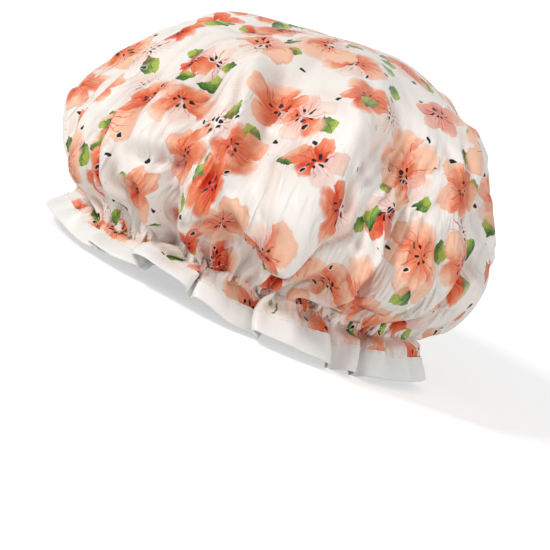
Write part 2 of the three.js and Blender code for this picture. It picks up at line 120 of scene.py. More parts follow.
@dataclass(frozen=True)
class CapForm:
    """The smooth form that the cloth lies over, without pleats; lengths in metres.

    Attributes:
        height: of the crown's top.
        front: reach of the crown to the front.
        back: reach of the crown to the back.
        side: reach of the crown to each side.
        rim_end: reach of the elastic to the front and back.
        rim_side: reach of the elastic to each side.
        rise_end: height of the elastic at the front and back.
        rise_side: height of the elastic at the sides.
        middle: the elastic's middle, along and across.
        flare: how far the hem's edge stands outside the elastic.
        lift_angle: where the hem's edge is lifted most, in degrees.
        lift_width: half width of that lift, in degrees.
        lift_height: its height.
    """

    height: float
    front: float
    back: float
    side: float
    rim_end: float
    rim_side: float
    middle: tuple[float, float]
    rise_end: float = 23 * MM
    rise_side: float = 31 * MM
    flare: float = 18 * MM
    lift_angle: float = -48.0
    lift_width: float = 32.0
    lift_height: float = 11 * MM

    # Points of the front, back and side lines, as shares of the reach and the height.
    FRONT = ((0.33, 0.94), (0.66, 0.82), (0.90, 0.60), (1.0, 0.37))
    BACK = ((0.28, 1.0), (0.52, 0.945), (0.75, 0.80), (0.90, 0.62), (1.0, 0.40))
    SIDE = ((0.42, 0.955), (0.76, 0.81), (0.94, 0.59), (1.0, 0.38))

    @classmethod
    def from_frame(cls) -> "CapForm":
        """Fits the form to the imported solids.

        Returns:
            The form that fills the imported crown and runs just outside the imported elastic.
        """
        low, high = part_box("outer_crown")
        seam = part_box("channel_stitching_upper")
        inner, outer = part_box("elastic_loop")
        middle = [(seam[0][i] + seam[1][i]) / 2 for i in (0, 1)]
        return cls(
            height=high[2] - 0.2 * MM,
            front=middle[1] - low[1] - 3.2 * MM,
            back=high[1] - middle[1] - 3.8 * MM,
            side=(high[0] - low[0]) / 2 - 8.3 * MM,
            rim_end=(outer[1] - inner[1]) / 2 - 0.6 * MM,
            rim_side=(outer[0] - inner[0]) / 2 - 0.2 * MM,
            middle=(middle[0], middle[1]),
        )

    def meridian(self, shares: Sequence[tuple], reach: float, rim: float, rise: float, sag: float) -> list:
        """Lists the points of one line from the crown's top to the elastic.

        Args:
            shares: points of the line as shares of the reach and the height.
            reach: how far out the crown comes on that side.
            rim: how far out the elastic is.
            rise: the elastic's height.
            sag: 0 where the crown narrows evenly to the elastic, 1 where it hangs round above it.

        Returns:
            Pairs of distance outwards and height, ending under the crown at the elastic.
        """
        low = [(0.80, (31 - 13 * sag) * MM), (0.36 - 0.12 * sag, (16 - 7 * sag) * MM), (0.0, 0.0)]
        return [(a * reach, b * self.height) for a, b in shares] + [
            (rim + a * (reach - rim), rise + b) for a, b in low
        ]

    def lines(self) -> tuple[list, list, list]:
        """Lists the form's three lines.

        Returns:
            The front, back and side lines, the front's distances negative.
        """
        top = 0.985 * self.height
        lean = 0.03 * self.back
        front = self.meridian(self.FRONT, self.front, self.rim_end, self.rise_end, 0.6)
        back = self.meridian(self.BACK, self.back, self.rim_end, self.rise_end, 1.0)
        side = self.meridian(self.SIDE, self.side, self.rim_side, self.rise_side, 0.1)
        return [(lean, top)] + [(-y, z) for y, z in front], [(lean, top)] + back, [(0.0, top)] + side

    def girth(self) -> float:
        """Returns the mean length of the lines from the top to the elastic."""
        runs = [spline(line, np.linspace(0, 1, 400)) for line in self.lines()]
        return float(np.mean([np.linalg.norm(np.diff(run, axis=0), axis=1).sum() for run in runs]))

    def point(self, angle: Array, t: Array) -> Array:
        """Gives points of the form.

        Args:
            angle: angle about Z from the cap's left side, in radians; the front is at -90 degrees.
            t: 0 at the top, 1 at the elastic and 2 at the hem's edge.

        Returns:
            Points on an ellipse through the front, back and side lines at t. Past the elastic they
            run straight down and out to the hem's edge, which is lifted a little beside the front.
        """
        front, back, side = (spline(line, np.clip(t, 0, 1)) for line in self.lines())
        sn, cs = np.sin(angle), np.cos(angle)
        share = sn * sn
        x = side[..., 0] * cs
        y = (front[..., 0] + back[..., 0]) / 2 + (back[..., 0] - front[..., 0]) / 2 * sn
        z = side[..., 1] * (1 - share) + np.where(sn > 0, back[..., 1], front[..., 1]) * share
        drop = np.clip(t - 1, 0, 2)
        out = unit(np.stack([cs / self.rim_side, sn / self.rim_end], -1)) * (self.flare * drop)[..., None]
        off = (angle - math.radians(self.lift_angle) + math.pi) % TURN - math.pi
        lift = self.lift_height * np.exp(-((off / math.radians(self.lift_width)) ** 2))
        edge = z - (z - lift) * drop
        place = np.stack([x + out[..., 0], y + out[..., 1], np.where(drop > 0, edge, z)], -1)
        return place + np.array([*self.middle, 0.0])

    def frame_at(self, angle: Array, t: Array) -> tuple[Array, Array, Array]:
        """Gives points of the form with their directions.

        Args:
            angle: as for point.
            t: as for point.

        Returns:
            The points, the unit directions round the cap and the unit directions outwards.
        """
        step = 1e-3
        round_about = unit(self.point(angle + step, t) - self.point(angle - step, t))
        down = self.point(angle, t + step) - self.point(angle, np.maximum(t - step, 0))
        return self.point(angle, t), round_about, unit(np.cross(down, round_about))


@dataclass(frozen=True)
class Fold:
    """One long fold laid on the crown.

    Attributes:
        path: points it runs through, as the form's angle in degrees and share of the way down.
        height: how far it stands out, or in where negative, in metres.
        left: half width on the side of falling angles, for a path that runs down, in metres.
        right: half width on the other side, in metres.
        lap: how far its crest leans over to the left, or to the right where negative, in metres.
    """

    path: tuple[tuple[float, float], ...]
    height: float
    left: float
    right: float
    lap: float = 0.0

    def turned(self, degrees: float, scale: float) -> "Fold":
        """Returns the fold moved round the cap and made higher or lower."""
        path = tuple((a + degrees, t) for a, t in self.path)
        return Fold(path, self.height * scale, self.left, self.right, self.lap * scale)

    @classmethod
    def scattered(cls, rng: np.random.Generator) -> "Fold":
        """Makes a short chance crease.

        Args:
            rng: the source of chance.

        Returns:
            A fold that runs more or less down the crown.
        """
        angle, t = rng.uniform(-180, 180), rng.uniform(0.36, 0.84)
        slant, run = rng.uniform(-16, 16), rng.uniform(0.09, 0.20)
        bow = rng.uniform(-3, 3)
        path = ((angle - slant / 2, t - run / 2), (angle + bow, t), (angle + slant / 2, t + run / 2))
        left, right = rng.uniform(2.2 * MM, 3.5 * MM), rng.uniform(6 * MM, 12 * MM)
        return cls(path, rng.uniform(1.4 * MM, 3.4 * MM), left, right, rng.uniform(0, 2 * MM))

    def shift(self, form: CapForm, base: Array, normal: Array) -> Array:
        """Works out how the fold moves the cloth.

        Args:
            form: the form it lies on.
            base: the cloth's points on the form, (n, 3).
            normal: the form's outward directions there.

        Returns:
            The move of each point: outwards by a bell over the distance from the path, its broader
            side nearly flat and its other side steep with a groove at its foot, fading to nothing at
            both ends, and sideways by the lap near the crest.
        """
        way = spline([(a / 100, t) for a, t in self.path], np.linspace(0, 1, 60))
        line = form.point(np.radians(way[:, 0] * 100), way[:, 1])
        nearest = np.argmin((line**2).sum(1) - 2 * base @ line.T, axis=1)
        along = unit(np.gradient(line, axis=0))[nearest]
        side = unit(np.cross(normal, along))
        gap = base - line[nearest]
        across = (gap * side).sum(-1)
        slide = (gap * along).sum(-1)
        pace = np.linalg.norm(np.diff(line, axis=0), axis=1).mean()
        share = (nearest + slide / pace) / (len(line) - 1)
        away = (gap**2).sum(-1) - across**2 - slide**2
        fade = ramp(0, 0.25, share) * ramp(1, 0.82, share) * np.exp(-away / (15 * MM) ** 2)
        reach = np.abs(across) / np.where(across < 0, self.left, self.right)
        broad = (across < 0) == (self.left > self.right)
        steep = min(self.left, self.right)
        foot = across * (1 if self.left > self.right else -1) / steep
        bell = np.exp(-np.where(broad, reach**1.2 / 1.3, reach**2))
        bell = bell - 0.45 * np.exp(-(((foot - 2.2) / 0.9) ** 2))
        crest = self.left if self.lap > 0 else -self.right
        lean = np.exp(-(((across - crest) / (self.left + self.right)) ** 2))
        return normal * (self.height * bell * fade)[:, None] - side * (self.lap * lean * fade)[:, None]


# The crown's long folds, listed one by one for the near side.
FOLDS = (
    Fold(
        ((-53.5, 0.39), (-43.5, 0.535), (-37.5, 0.655), (-33, 0.75), (-31.5, 0.81)),
        8 * MM, 4 * MM, 10 * MM, 3.5 * MM,
    ),
    Fold(((-52, 0.325), (-39, 0.49), (-33.5, 0.605), (-29, 0.71)), -5 * MM, 5 * MM, 8 * MM),
    Fold(((-26.5, 0.57), (-24.5, 0.64), (-23, 0.70), (-21, 0.76)), 7 * MM, 3 * MM, 10 * MM, 4 * MM),
    Fold(((-2.5, 0.63), (-10, 0.70), (-14.5, 0.77), (-16, 0.86)), 9 * MM, 14 * MM, 3 * MM, -6 * MM),
    Fold(((3.5, 0.665), (2, 0.72), (0, 0.77), (-0.5, 0.88), (-1, 0.96)), 8 * MM, 12 * MM, 3 * MM, -5 * MM),
    Fold(((24.5, 0.695), (22.5, 0.725), (19, 0.83), (18, 0.92)), 8 * MM, 12 * MM, 3 * MM, -5 * MM),
    Fold(((0.5, 0.785), (4, 0.85), (8.5, 0.94)), 6 * MM, 9 * MM, 3 * MM, -3 * MM),
    Fold(((46, 0.695), (39, 0.74), (36, 0.815)), 6 * MM, 3.5 * MM, 10 * MM, 3 * MM),
    Fold(((4.5, 0.495), (4, 0.545), (3.5, 0.61), (3, 0.65)), 5 * MM, 12 * MM, 3.5 * MM, -2 * MM),
    Fold(((26.5, 0.52), (26.5, 0.58), (26, 0.655), (27, 0.705)), 5 * MM, 6 * MM, 8 * MM),
    Fold(((37, 0.545), (41, 0.60), (46, 0.655)), 4 * MM, 6 * MM, 6.5 * MM),
    Fold(((-22.5, 0.275), (-18.5, 0.395), (-13.5, 0.53), (-12, 0.595)), 4.5 * MM, 8 * MM, 6 * MM),
    Fold(((-24, 0.515), (-22.5, 0.565), (-18.5, 0.62)), 4 * MM, 4 * MM, 6 * MM),
    Fold(((-72, 0.465), (-69, 0.39), (-67, 0.305), (-58, 0.30)), 6 * MM, 12 * MM, 4 * MM),
    Fold(
        ((-64, 0.745), (-62.5, 0.72), (-56.5, 0.695), (-49.5, 0.68), (-44, 0.70)),
        8 * MM, 4 * MM, 13 * MM, 4 * MM,
    ),
    Fold(
        ((-64, 0.82), (-60.5, 0.79), (-57, 0.78), (-53.5, 0.805), (-52.5, 0.845), (-51.5, 0.92)),
        7 * MM, 3.5 * MM, 10 * MM, 3 * MM,
    ),
    Fold(((-43, 0.825), (-36.5, 0.785), (-32, 0.745)), 6 * MM, 3 * MM, 9 * MM, 3 * MM),
    Fold(((-74, 0.645), (-70.5, 0.705), (-68, 0.765), (-64.5, 0.86)), 8 * MM, 3 * MM, 10 * MM, 5 * MM),
    Fold(((-81, 0.765), (-74, 0.81), (-70.5, 0.89)), 6 * MM, 8 * MM, 3 * MM, -3 * MM),
    Fold(((-33, 0.725), (-29.5, 0.745), (-27, 0.78), (-25.5, 0.85)), 7 * MM, 4 * MM, 5 * MM),
)


# Waves of the crown's main valleys: turns round the cap, radians a metre down it, and start.
CREASES = ((13, 7.8, 5.71), (9, -28.1, 3.70), (8, 29.3, 3.41), (9, -34.0, 3.24), (7, -48.9, 5.91))


@dataclass(frozen=True)
class Gathers:
    """The pleats that take up the cloth's spare length, ring by ring of the flat disc.

    Attributes:
        form: the form that the cloth lies over.
        seed: of the pleats' spacing.
        samples: points round each ring.
        hem: the cloth's length below the elastic, in metres.
        full: share of the disc's full circumference that is kept at the elastic.
        brim: the same share at the hem's edge.
        plain: radius of the disc from which it is taken in, in metres.
    """

    form: CapForm
    seed: int = 7
    samples: int = 4096
    hem: float = 34 * MM
    full: float = 0.78
    brim: float = 0.61
    plain: float = 0.10

    # The long pleats, and the waves of their spacing: turns round the cap, size and start.
    LONG_PLEATS = 15
    LONG_DRIFT = ((2, -0.90, 1.89), (3, -1.84, 4.16))
    # The hem's tucks: angle in degrees, two turns in radians and half width in degrees.
    HEM_TUCKS = (
        (-113, 2.5, 2.5, 1.9), (-71, 2.6, 2.6, 2.0), (-51, 2.7, 2.6, 2.2), (-34, -1.6, 1.6, 1.5),
        (-15, 2.6, 2.7, 2.0), (11, -1.15, 1.15, 2.3), (22, -1.15, 1.15, 2.2), (58, -2.5, -2.5, 1.8),
        (81, -1.6, 1.6, 1.5), (98, 2.4, 2.4, 1.9), (124, -1.6, 1.6, 1.7), (140, -2.6, -2.6, 1.9),
        (165, -1.6, 1.6, 1.5), (180, 2.5, 2.5, 1.9), (203, -1.6, 1.6, 1.6), (226, -2.5, -2.5, 1.9),
    )

    def keep(self, radius: Array) -> Array:
        """Returns the share of the disc's circumference that is kept at each radius."""
        girth = self.form.girth()
        return np.interp(radius, (self.plain, girth, girth + self.hem), (1.0, self.full, self.brim))

    def row(self, rng: np.random.Generator, count: int, sharp: float) -> Array:
        """Makes one row of pleats as a wave of slopes round the ring.

        Args:
            rng: the source of the spacing.
            count: pleats round the cap.
            sharp: as for tooth.

        Returns:
            The wave, over an angle that drifts by up to a pleat or so.
        """
        s = np.linspace(0, TURN, self.samples, endpoint=False)
        drift = sum(
            rng.normal() * np.cos(k * s + rng.uniform(0, TURN)) / math.sqrt(k)
            for k in range(2, max(4, count // 4))
        )
        slow = (count // 5 + 1, count // 3 + 1)
        swell = 0.8 + 0.12 * sum(np.cos(k * s + rng.uniform(0, TURN)) for k in slow)
        return swell * self.tooth(count * s + drift, sharp)

    def long_row(self) -> Array:
        """Makes the row of the crown's long pleats.

        Returns:
            The wave of slopes, its spacing varied by LONG_DRIFT.
        """
        s = np.linspace(0, TURN, self.samples, endpoint=False)
        drift = sum(size * np.cos(k * s + at) for k, size, at in self.LONG_DRIFT)
        return 0.85 * self.tooth(self.LONG_PLEATS * s + drift, 0.6)

    @staticmethod
    def tooth(angle: Array, sharp: float) -> Array:
        """Makes a wave of slopes with flat sides.

        Args:
            angle: the wave's angle.
            sharp: 0 for a soft even wave, 1 for flat sides that meet in crisp edges.

        Returns:
            Slopes that rise gently over most of a pleat and fall steeply over the rest, so that
            each pleat has a broad side and a narrow one.
        """
        wave = np.tanh((1 + 4 * sharp) * (np.sin(angle) + 0.6 * sharp))
        return wave - wave.mean()

    def drawn(self, radius: Array, angle: Array) -> Array:
        """Follows the slant of the pleats down to the elastic.

        Args:
            radius: radii on the flat disc.
            angle: angles on the flat disc.

        Returns:
            The angle at which the pleat through each place meets the elastic: pleats lean towards
            one place beside the front and its opposite, by up to 42 degrees a whole way down.
        """
        lean = math.radians(42) * np.tanh(1.6 * np.sin(angle + math.radians(22)))
        return angle - lean * np.clip(1 - radius / self.form.girth(), 0, 0.6)

    def hem_row(self) -> Array:
        """Makes the hem's wave of slopes.

        Returns:
            At each tuck two turns by its angles in radians, outwards where positive, over its own
            width in degrees: like turns fold the hem back over itself and opposite ones dip it.
            Between two tucks the slope falls evenly, so that the hem stands there in a round lobe.
        """
        places = np.array([tuck[0] for tuck in self.HEM_TUCKS] + [self.HEM_TUCKS[0][0] + 360.0])
        s = np.linspace(0, 360, self.samples, endpoint=False)
        turn = (s - places[0]) % 360 + places[0]
        i = np.clip(np.searchsorted(places, turn, side="right") - 1, 0, len(places) - 2)
        wave = 0.35 * (1 - 2 * (turn - places[i]) / (places[i + 1] - places[i]))
        for place, first, second, wide in self.HEM_TUCKS:
            off = ((s - place + 180) % 360 - 180) / wide
            wave += first * np.exp(-((off + 1) ** 4)) + second * np.exp(-((off - 1) ** 4))
        smooth = np.fft.rfft(wave)
        smooth *= np.exp(-((np.arange(len(smooth)) / 190) ** 2))
        return np.fft.irfft(smooth, n=self.samples)

    def moves(self, radii: Array) -> tuple[Array, Array]:
        """Works out the pleats of every ring.

        Args:
            radii: the rings' radii on the flat disc.

        Returns:
            Moves outwards and round the cap, a row for each ring. The rows mix fine pleats at the
            elastic with broader ones away from it. Each ring's slope angles are scaled until the
            pleated ring is as long as the flat one, and then summed along the ring.
        """
        form, girth = self.form, self.form.girth()
        rng = np.random.default_rng(self.seed)
        off = np.abs(radii - girth) / MM
        crown = radii < girth

        def peak(at_crown: float, at_hem: float, power: float) -> Array:
            """Returns a weight that rises from the elastic to 1 and falls again."""
            u = off / np.where(crown, at_crown, at_hem)
            return u**power * np.exp(power * (1 - u))

        weights = (
            (np.exp(-((off / np.where(crown, 20, 7)) ** 2)), self.row(rng, 84, 0.3)),
            (peak(30, 9, 1.2), self.row(rng, 44, 0.7)),
            (np.where(crown, 1.5 * peak(62, 20, 1.5), 0), self.row(rng, 26, 0.8)),
            (np.where(crown, np.clip(off / 95, 0, 1), 0), self.long_row()),
            (np.where(crown, 0, ramp(2, 15, off)), self.hem_row()),
        )
        angle = np.linspace(0, TURN, self.samples, endpoint=False)
        drawn = self.drawn(radii[:, None], angle[None])
        wave = sum(weight[:, None] * np.interp(drawn, angle, row, period=TURN) for weight, row in weights)
        t = self.share(radii)
        ring = form.point(*np.broadcast_arrays(angle[None], t[:, None]))
        around = np.linalg.norm(np.roll(ring, -1, axis=1) - ring, axis=2).sum(1)
        flat = TURN * radii * self.keep(radii)
        wanted = np.minimum(around / np.maximum(flat, 1e-9), 1)
        low, high = np.zeros(len(radii)), np.where(crown, 4.0, 1.15)
        for _ in range(30):
            middle = (low + high) / 2
            slack = np.cos(middle[:, None] * wave).mean(1) < wanted
            high, low = np.where(slack, middle, high), np.where(slack, low, middle)
        slope = middle[:, None] * wave
        run = (flat / self.samples)[:, None]

        def summed(x: Array) -> Array:
            """Sums along each ring.

            Args:
                x: what is summed, a row for each ring.

            Returns:
                The running sums without their slow drift.
            """
            waves = np.fft.rfft(np.cumsum((x - x.mean(1, keepdims=True)) * run, axis=1), axis=1)
            waves[:, :5] = 0
            return np.fft.irfft(waves, n=self.samples, axis=1)

        out = summed(np.sin(slope))
        places = np.radians([tuck[0] for tuck in self.HEM_TUCKS])
        at = np.rint(places % TURN / TURN * self.samples).astype(int) % self.samples
        share = np.stack([np.interp(angle, places, row, period=TURN) for row in np.eye(len(places))])
        out -= np.where(crown, 0, ramp(2, 15, off))[:, None] * (out[:, at] @ share)
        return out, summed(np.cos(slope))

    def share(self, radius: Array) -> Array:
        """Returns how far down the form a radius of the disc lies."""
        girth = self.form.girth()
        return np.where(radius < girth, radius / girth, 1 + (radius - girth) / self.hem)


@dataclass
class Cloth:
    """The satin as a grid of points, squares of the grid running in rings about the top.

    Attributes:
        gathers: the pleats and the form under them.
        rings: rings of the grid.
        steps: rounds of the relaxation.
        creases: short creases scattered over the crown.
    """

    gathers: Gathers
    rings: int = 150
    steps: int = 12
    creases: int = 80
    points: Array = field(init=False)
    normals: Array = field(init=False)
    radius: Array = field(init=False)
    angle: Array = field(init=False)

    @property
    def edge(self) -> float:
        """Returns the disc's radius."""
        return self.gathers.form.girth() + self.gathers.hem

    def lay(self) -> None:
        """Lays the cloth on the form with its pleats and folds, and settles it.

        The grid's squares at distance k from the middle make ring k; their place along the ring's
        four sides gives the angle, so that the grid is even over the whole disc. Pleats move it
        along the form's outward directions, but where the hem dips in it keeps its height.
        """
        k = self.rings
        a, b = np.meshgrid(np.arange(-k, k + 1), np.arange(-k, k + 1), indexing="ij")
        ring = np.maximum(abs(a), abs(b))
        quarter = math.pi / 4
        wide = abs(a) >= abs(b)
        over = np.where(wide, np.where(a == 0, 1, a), np.where(b == 0, 1, b))
        turn = np.where(wide, quarter * b / over, math.pi / 2 - quarter * a / over)
        self.angle = (turn + np.where(np.where(wide, a, b) < 0, math.pi, 0)) % TURN
        self.radius = ring / k * self.edge
        out, about = self.gathers.moves(np.arange(k + 1) / k * self.edge)
        column = np.rint(self.angle / TURN * self.gathers.samples).astype(int) % self.gathers.samples
        form = self.gathers.form
        share = self.gathers.share(self.radius)
        base, tangent, normal = form.frame_at(self.angle, share)
        push = out[ring, column][..., None]
        level = np.where(push < 0, ramp(1.0, 1.35, share)[..., None], 0) * np.array([0, 0, 1])
        points = base + normal * (1 - level) * push + tangent * about[ring, column][..., None]
        belt = np.exp(-(((self.radius - form.girth()) / (8 * MM)) ** 2))
        points += normal * (4.5 * MM * belt)[..., None]
        points += self.folds(base, normal) + normal * (self.lumps(base) + self.crumple())[..., None]
        points[k, k] = points[k - 1 : k + 2, k - 1 : k + 2].reshape(-1, 3)[[0, 2, 6, 8]].mean(0)
        self.points = points
        self.settle()
        self.normals = self.facing()

    def lumps(self, base: Array) -> Array:
        """Works out the crown's soft unevenness.

        Args:
            base: the cloth's points on the form.

        Returns:
            Moves outwards: a dozen plane waves 70 to 130 mm long, added up.
        """
        rng = np.random.default_rng(21)
        ways = unit(rng.normal(size=(12, 3))) * (TURN / rng.uniform(70 * MM, 130 * MM, (12, 1)))
        waves = np.cos(base @ ways.T + rng.uniform(0, TURN, 12)).sum(-1)
        return 0.7 * MM * waves * ramp(self.gathers.form.girth(), 0.2, self.radius)

    def crumple(self) -> Array:
        """Works out the cloth's chance creases.

        Returns:
            Moves outwards: three sums of waves that run mostly down along the pleats: one folded
            up at its zero lines, which leaves sharp valleys, a finer one folded the other way, and
            in patches a still finer one for the small creases.
        """
        rng = np.random.default_rng(33)
        angle = self.gathers.drawn(self.radius, self.angle)
        girth = self.gathers.form.girth()

        def chance(low: int, high: int, way: float, count: int) -> list[tuple]:
            """Returns chance waves of low to high turns round the cap and up to way turns down it."""
            return [
                (rng.integers(low, high), rng.uniform(-1, 1) * way, rng.uniform(0, TURN))
                for _ in range(count)
            ]

        fine, small, slow = chance(12, 30, 105, 10), chance(48, 84, 80, 8), chance(4, 11, 40, 6)

        def waves(terms: Sequence[tuple]) -> Array:
            """Returns waves of the given turns round the cap, turns down it and starts, added up."""
            total = sum(np.cos(turns * angle + way * self.radius + at) for turns, way, at in terms)
            return total / math.sqrt(len(terms) / 2)

        valley = np.sqrt(waves(CREASES) ** 2 + 0.03)
        ridge = -np.sqrt(waves(fine) ** 2 + 0.03)
        weight = ramp(0.25 * girth, 0.5 * girth, self.radius) * ramp(0.98 * girth, 0.85 * girth, self.radius)
        ripple = (0.8 - np.sqrt(waves(small) ** 2 + 0.02)) * ramp(-0.4, 0.9, waves(slow))
        return (3.6 * MM * (valley - 0.8) + 1.6 * MM * (ridge + 0.8) + 1.9 * MM * ripple) * weight

    def folds(self, base: Array, normal: Array) -> Array:
        """Adds up the listed folds, and their like on the far side.

        Args:
            base: the cloth's points on the form.
            normal: the form's outward directions there.

        Returns:
            The moves of all points.
        """
        form = self.gathers.form
        flat, out = base.reshape(-1, 3), normal.reshape(-1, 3)
        near = sum(fold.shift(form, flat, out) for fold in FOLDS)
        far = sum(fold.turned(168, 0.8).shift(form, flat, out) for fold in FOLDS)
        rng = np.random.default_rng(5)
        small = sum(Fold.scattered(rng).shift(form, flat, out) for _ in range(self.creases))
        return (near + far + small).reshape(base.shape)

    def settle(self) -> None:
        """Relaxes the cloth.

        Springs along, across and aslant the grid, as long as on the flat cut or in the laid folds,
        pull where they are stretched and hardly push where they are slack. Longer ones resist
        bending, and each round draws the cloth back a little to where it was laid.
        """
        n = self.points.shape[0]
        keep = self.gathers.keep(self.radius)

        def rest(i: tuple, j: tuple) -> Array:
            """Works out the springs' lengths.

            Args:
                i: one end of each spring.
                j: its other end.

            Returns:
                The lengths on the taken-in disc, or nearly those in the laid folds where longer.
            """
            bend = np.abs((self.angle[i] - self.angle[j] + math.pi) % TURN - math.pi)
            chord = 2 * np.sin((keep[i] + keep[j]) / 4 * bend)
            gap = self.radius[i] - self.radius[j]
            laid = np.linalg.norm(self.points[i] - self.points[j], axis=-1)
            return np.maximum(np.sqrt(gap**2 + self.radius[i] * self.radius[j] * chord**2), 0.95 * laid)

        s = np.s_
        pairs = []
        for c in (0, 1):
            pairs += [
                (s[:, c : n - 1 : 2], s[:, c + 1 : n : 2], 0.5, 0.02),
                (s[c : n - 1 : 2, :], s[c + 1 : n : 2, :], 0.5, 0.02),
                (s[c : n - 1 : 2, :-1], s[c + 1 : n : 2, 1:], 0.2, 0.01),
                (s[c : n - 1 : 2, 1:], s[c + 1 : n : 2, :-1], 0.2, 0.01),
            ]
        for c in range(4):
            pairs += [
                (s[:, c : n - 2 : 4], s[:, c + 2 : n : 4], 0.0, 0.03),
                (s[c : n - 2 : 4, :], s[c + 2 : n : 4, :], 0.0, 0.03),
            ]
        springs = [(i, j, rest(i, j), pull, push) for i, j, pull, push in pairs]
        held = np.abs(self.radius - self.gathers.form.girth()) < 2.5 * MM
        free = np.where(held, 0.0, 1.0)[..., None]
        start = self.points.copy()
        x = self.points
        for _ in range(self.steps):
            for i, j, length, pull, push in springs:
                gap = x[j] - x[i]
                long = np.sqrt((gap * gap).sum(-1))
                over = long - length
                move = gap * (np.where(over > 0, pull, push) * over / np.maximum(long, 1e-9) / 2)[..., None]
                x[i] += move * free[i]
                x[j] -= move * free[j]
            x += 0.03 * (start - x)
        self.smooth()
        x[..., 2] = np.maximum(x[..., 2], 0.8 * MM)

    def smooth(self) -> None:
        """Evens out ripples as small as the grid on the open crown, above the gathers."""
        girth = self.gathers.form.girth()
        even = self.points
        for axis in (0, 1):
            even = (np.roll(even, 1, axis) + 2 * even + np.roll(even, -1, axis)) / 4
        share = 0.8 * ramp(0.93 * girth, 0.84 * girth, self.radius)[..., None]
        self.points += share * (even - self.points)

    def facing(self) -> Array:
        """Returns the cloth's outward directions at the grid's points."""
        return unit(np.cross(np.gradient(self.points, axis=0), np.gradient(self.points, axis=1)))

    def hollows(self) -> Array:
        """Works out how deep each point lies in a fold, for the painted shade there.

        Returns:
            0 on open cloth to 1 in a deep fold: how far a point lies inside the mean of its
            neighbours a few millimetres round it, over 1.6 mm.
        """
        mean = self.points
        for _ in range(5):
            for axis in (0, 1):
                wide = np.pad(mean, [(1, 1) if a == axis else (0, 0) for a in range(3)], mode="edge")
                n = mean.shape[axis]
                mean = (wide.take(range(n), axis) + mean + wide.take(range(2, n + 2), axis)) / 3
        return np.clip(((mean - self.points) * self.normals).sum(-1) / (1.6 * MM), 0, 1)

    def at(self, radius: Array, angle: Array, lift: Array | float = 0.0) -> Array:
        """Gives points on the cloth, or at a small distance from it.

        Args:
            radius: radii on the flat disc.
            angle: angles on the flat disc.
            lift: distances outwards from the cloth.

        Returns:
            The points, by cubic weights over the 16 grid points round each.
        """
        k = np.clip(radius / self.edge, 0, 1) * self.rings
        turn = np.mod(angle + math.pi / 4, TURN)
        side = np.floor(turn / (math.pi / 2)).astype(int) % 4
        run = k * (np.mod(turn, math.pi / 2) / (math.pi / 4) - 1)
        a = np.choose(side, [k, -run, -k, run]) + self.rings
        b = np.choose(side, [run, k, -run, -k]) + self.rings
        n = self.points.shape[0]
        i, j = np.floor(a).astype(int), np.floor(b).astype(int)

        def weights(u: Array) -> list[Array]:
            """Returns the four cubic weights at the share u."""
            return [
                (-u + 2 * u**2 - u**3) / 2,
                (2 - 5 * u**2 + 3 * u**3) / 2,
                (u + 4 * u**2 - 3 * u**3) / 2,
                (-(u**2) + u**3) / 2,
            ]

        wa, wb = weights(a - i), weights(b - j)
        place, out = 0.0, 0.0
        for p in range(4):
            for q in range(4):
                at = np.clip(i + p - 1, 0, n - 1), np.clip(j + q - 1, 0, n - 1)
                weight = (wa[p] * wb[q])[..., None]
                place, out = place + weight * self.points[at], out + weight * self.normals[at]
        return place + unit(out) * np.asarray(lift)[..., None]


class Wire:
    """A node socket with arithmetic, so that shader sums read as sums."""

    def __init__(self, bench: "Bench", socket: bpy.types.NodeSocket) -> None:
        """Keeps the socket and the bench that makes its nodes."""
        self.bench, self.socket = bench, socket

    def maths(self, operation: str, *others: "Wire | float") -> "Wire":
        """Returns the result of a Math node on this socket and the others."""
        return self.bench.node("ShaderNodeMath", {"operation": operation}, [self, *others])

    def __add__(self, other: "Wire | float") -> "Wire":
        """Returns the sum."""
        return self.maths("ADD", other)

    def __sub__(self, other: "Wire | float") -> "Wire":
        """Returns the difference."""
        return self.maths("SUBTRACT", other)

    def __mul__(self, other: "Wire | float") -> "Wire":
        """Returns the product."""
        return self.maths("MULTIPLY", other)

    def __truediv__(self, other: "Wire | float") -> "Wire":
        """Returns the quotient."""
        return self.maths("DIVIDE", other)

    def __rsub__(self, other: float) -> "Wire":
        """Returns the number less this socket."""
        return self.bench.node("ShaderNodeMath", {"operation": "SUBTRACT"}, [other, self])

    __radd__ = __add__
    __rmul__ = __mul__

    def step(self, low: float, high: float) -> "Wire":
        """Returns the smooth step of this socket from 0 at low to 1 at high, low above high too."""
        ends = [high, low, 1.0, 0.0] if low > high else [low, high, 0.0, 1.0]
        return self.bench.node("ShaderNodeMapRange", {"interpolation_type": "SMOOTHSTEP"}, [self, *ends])


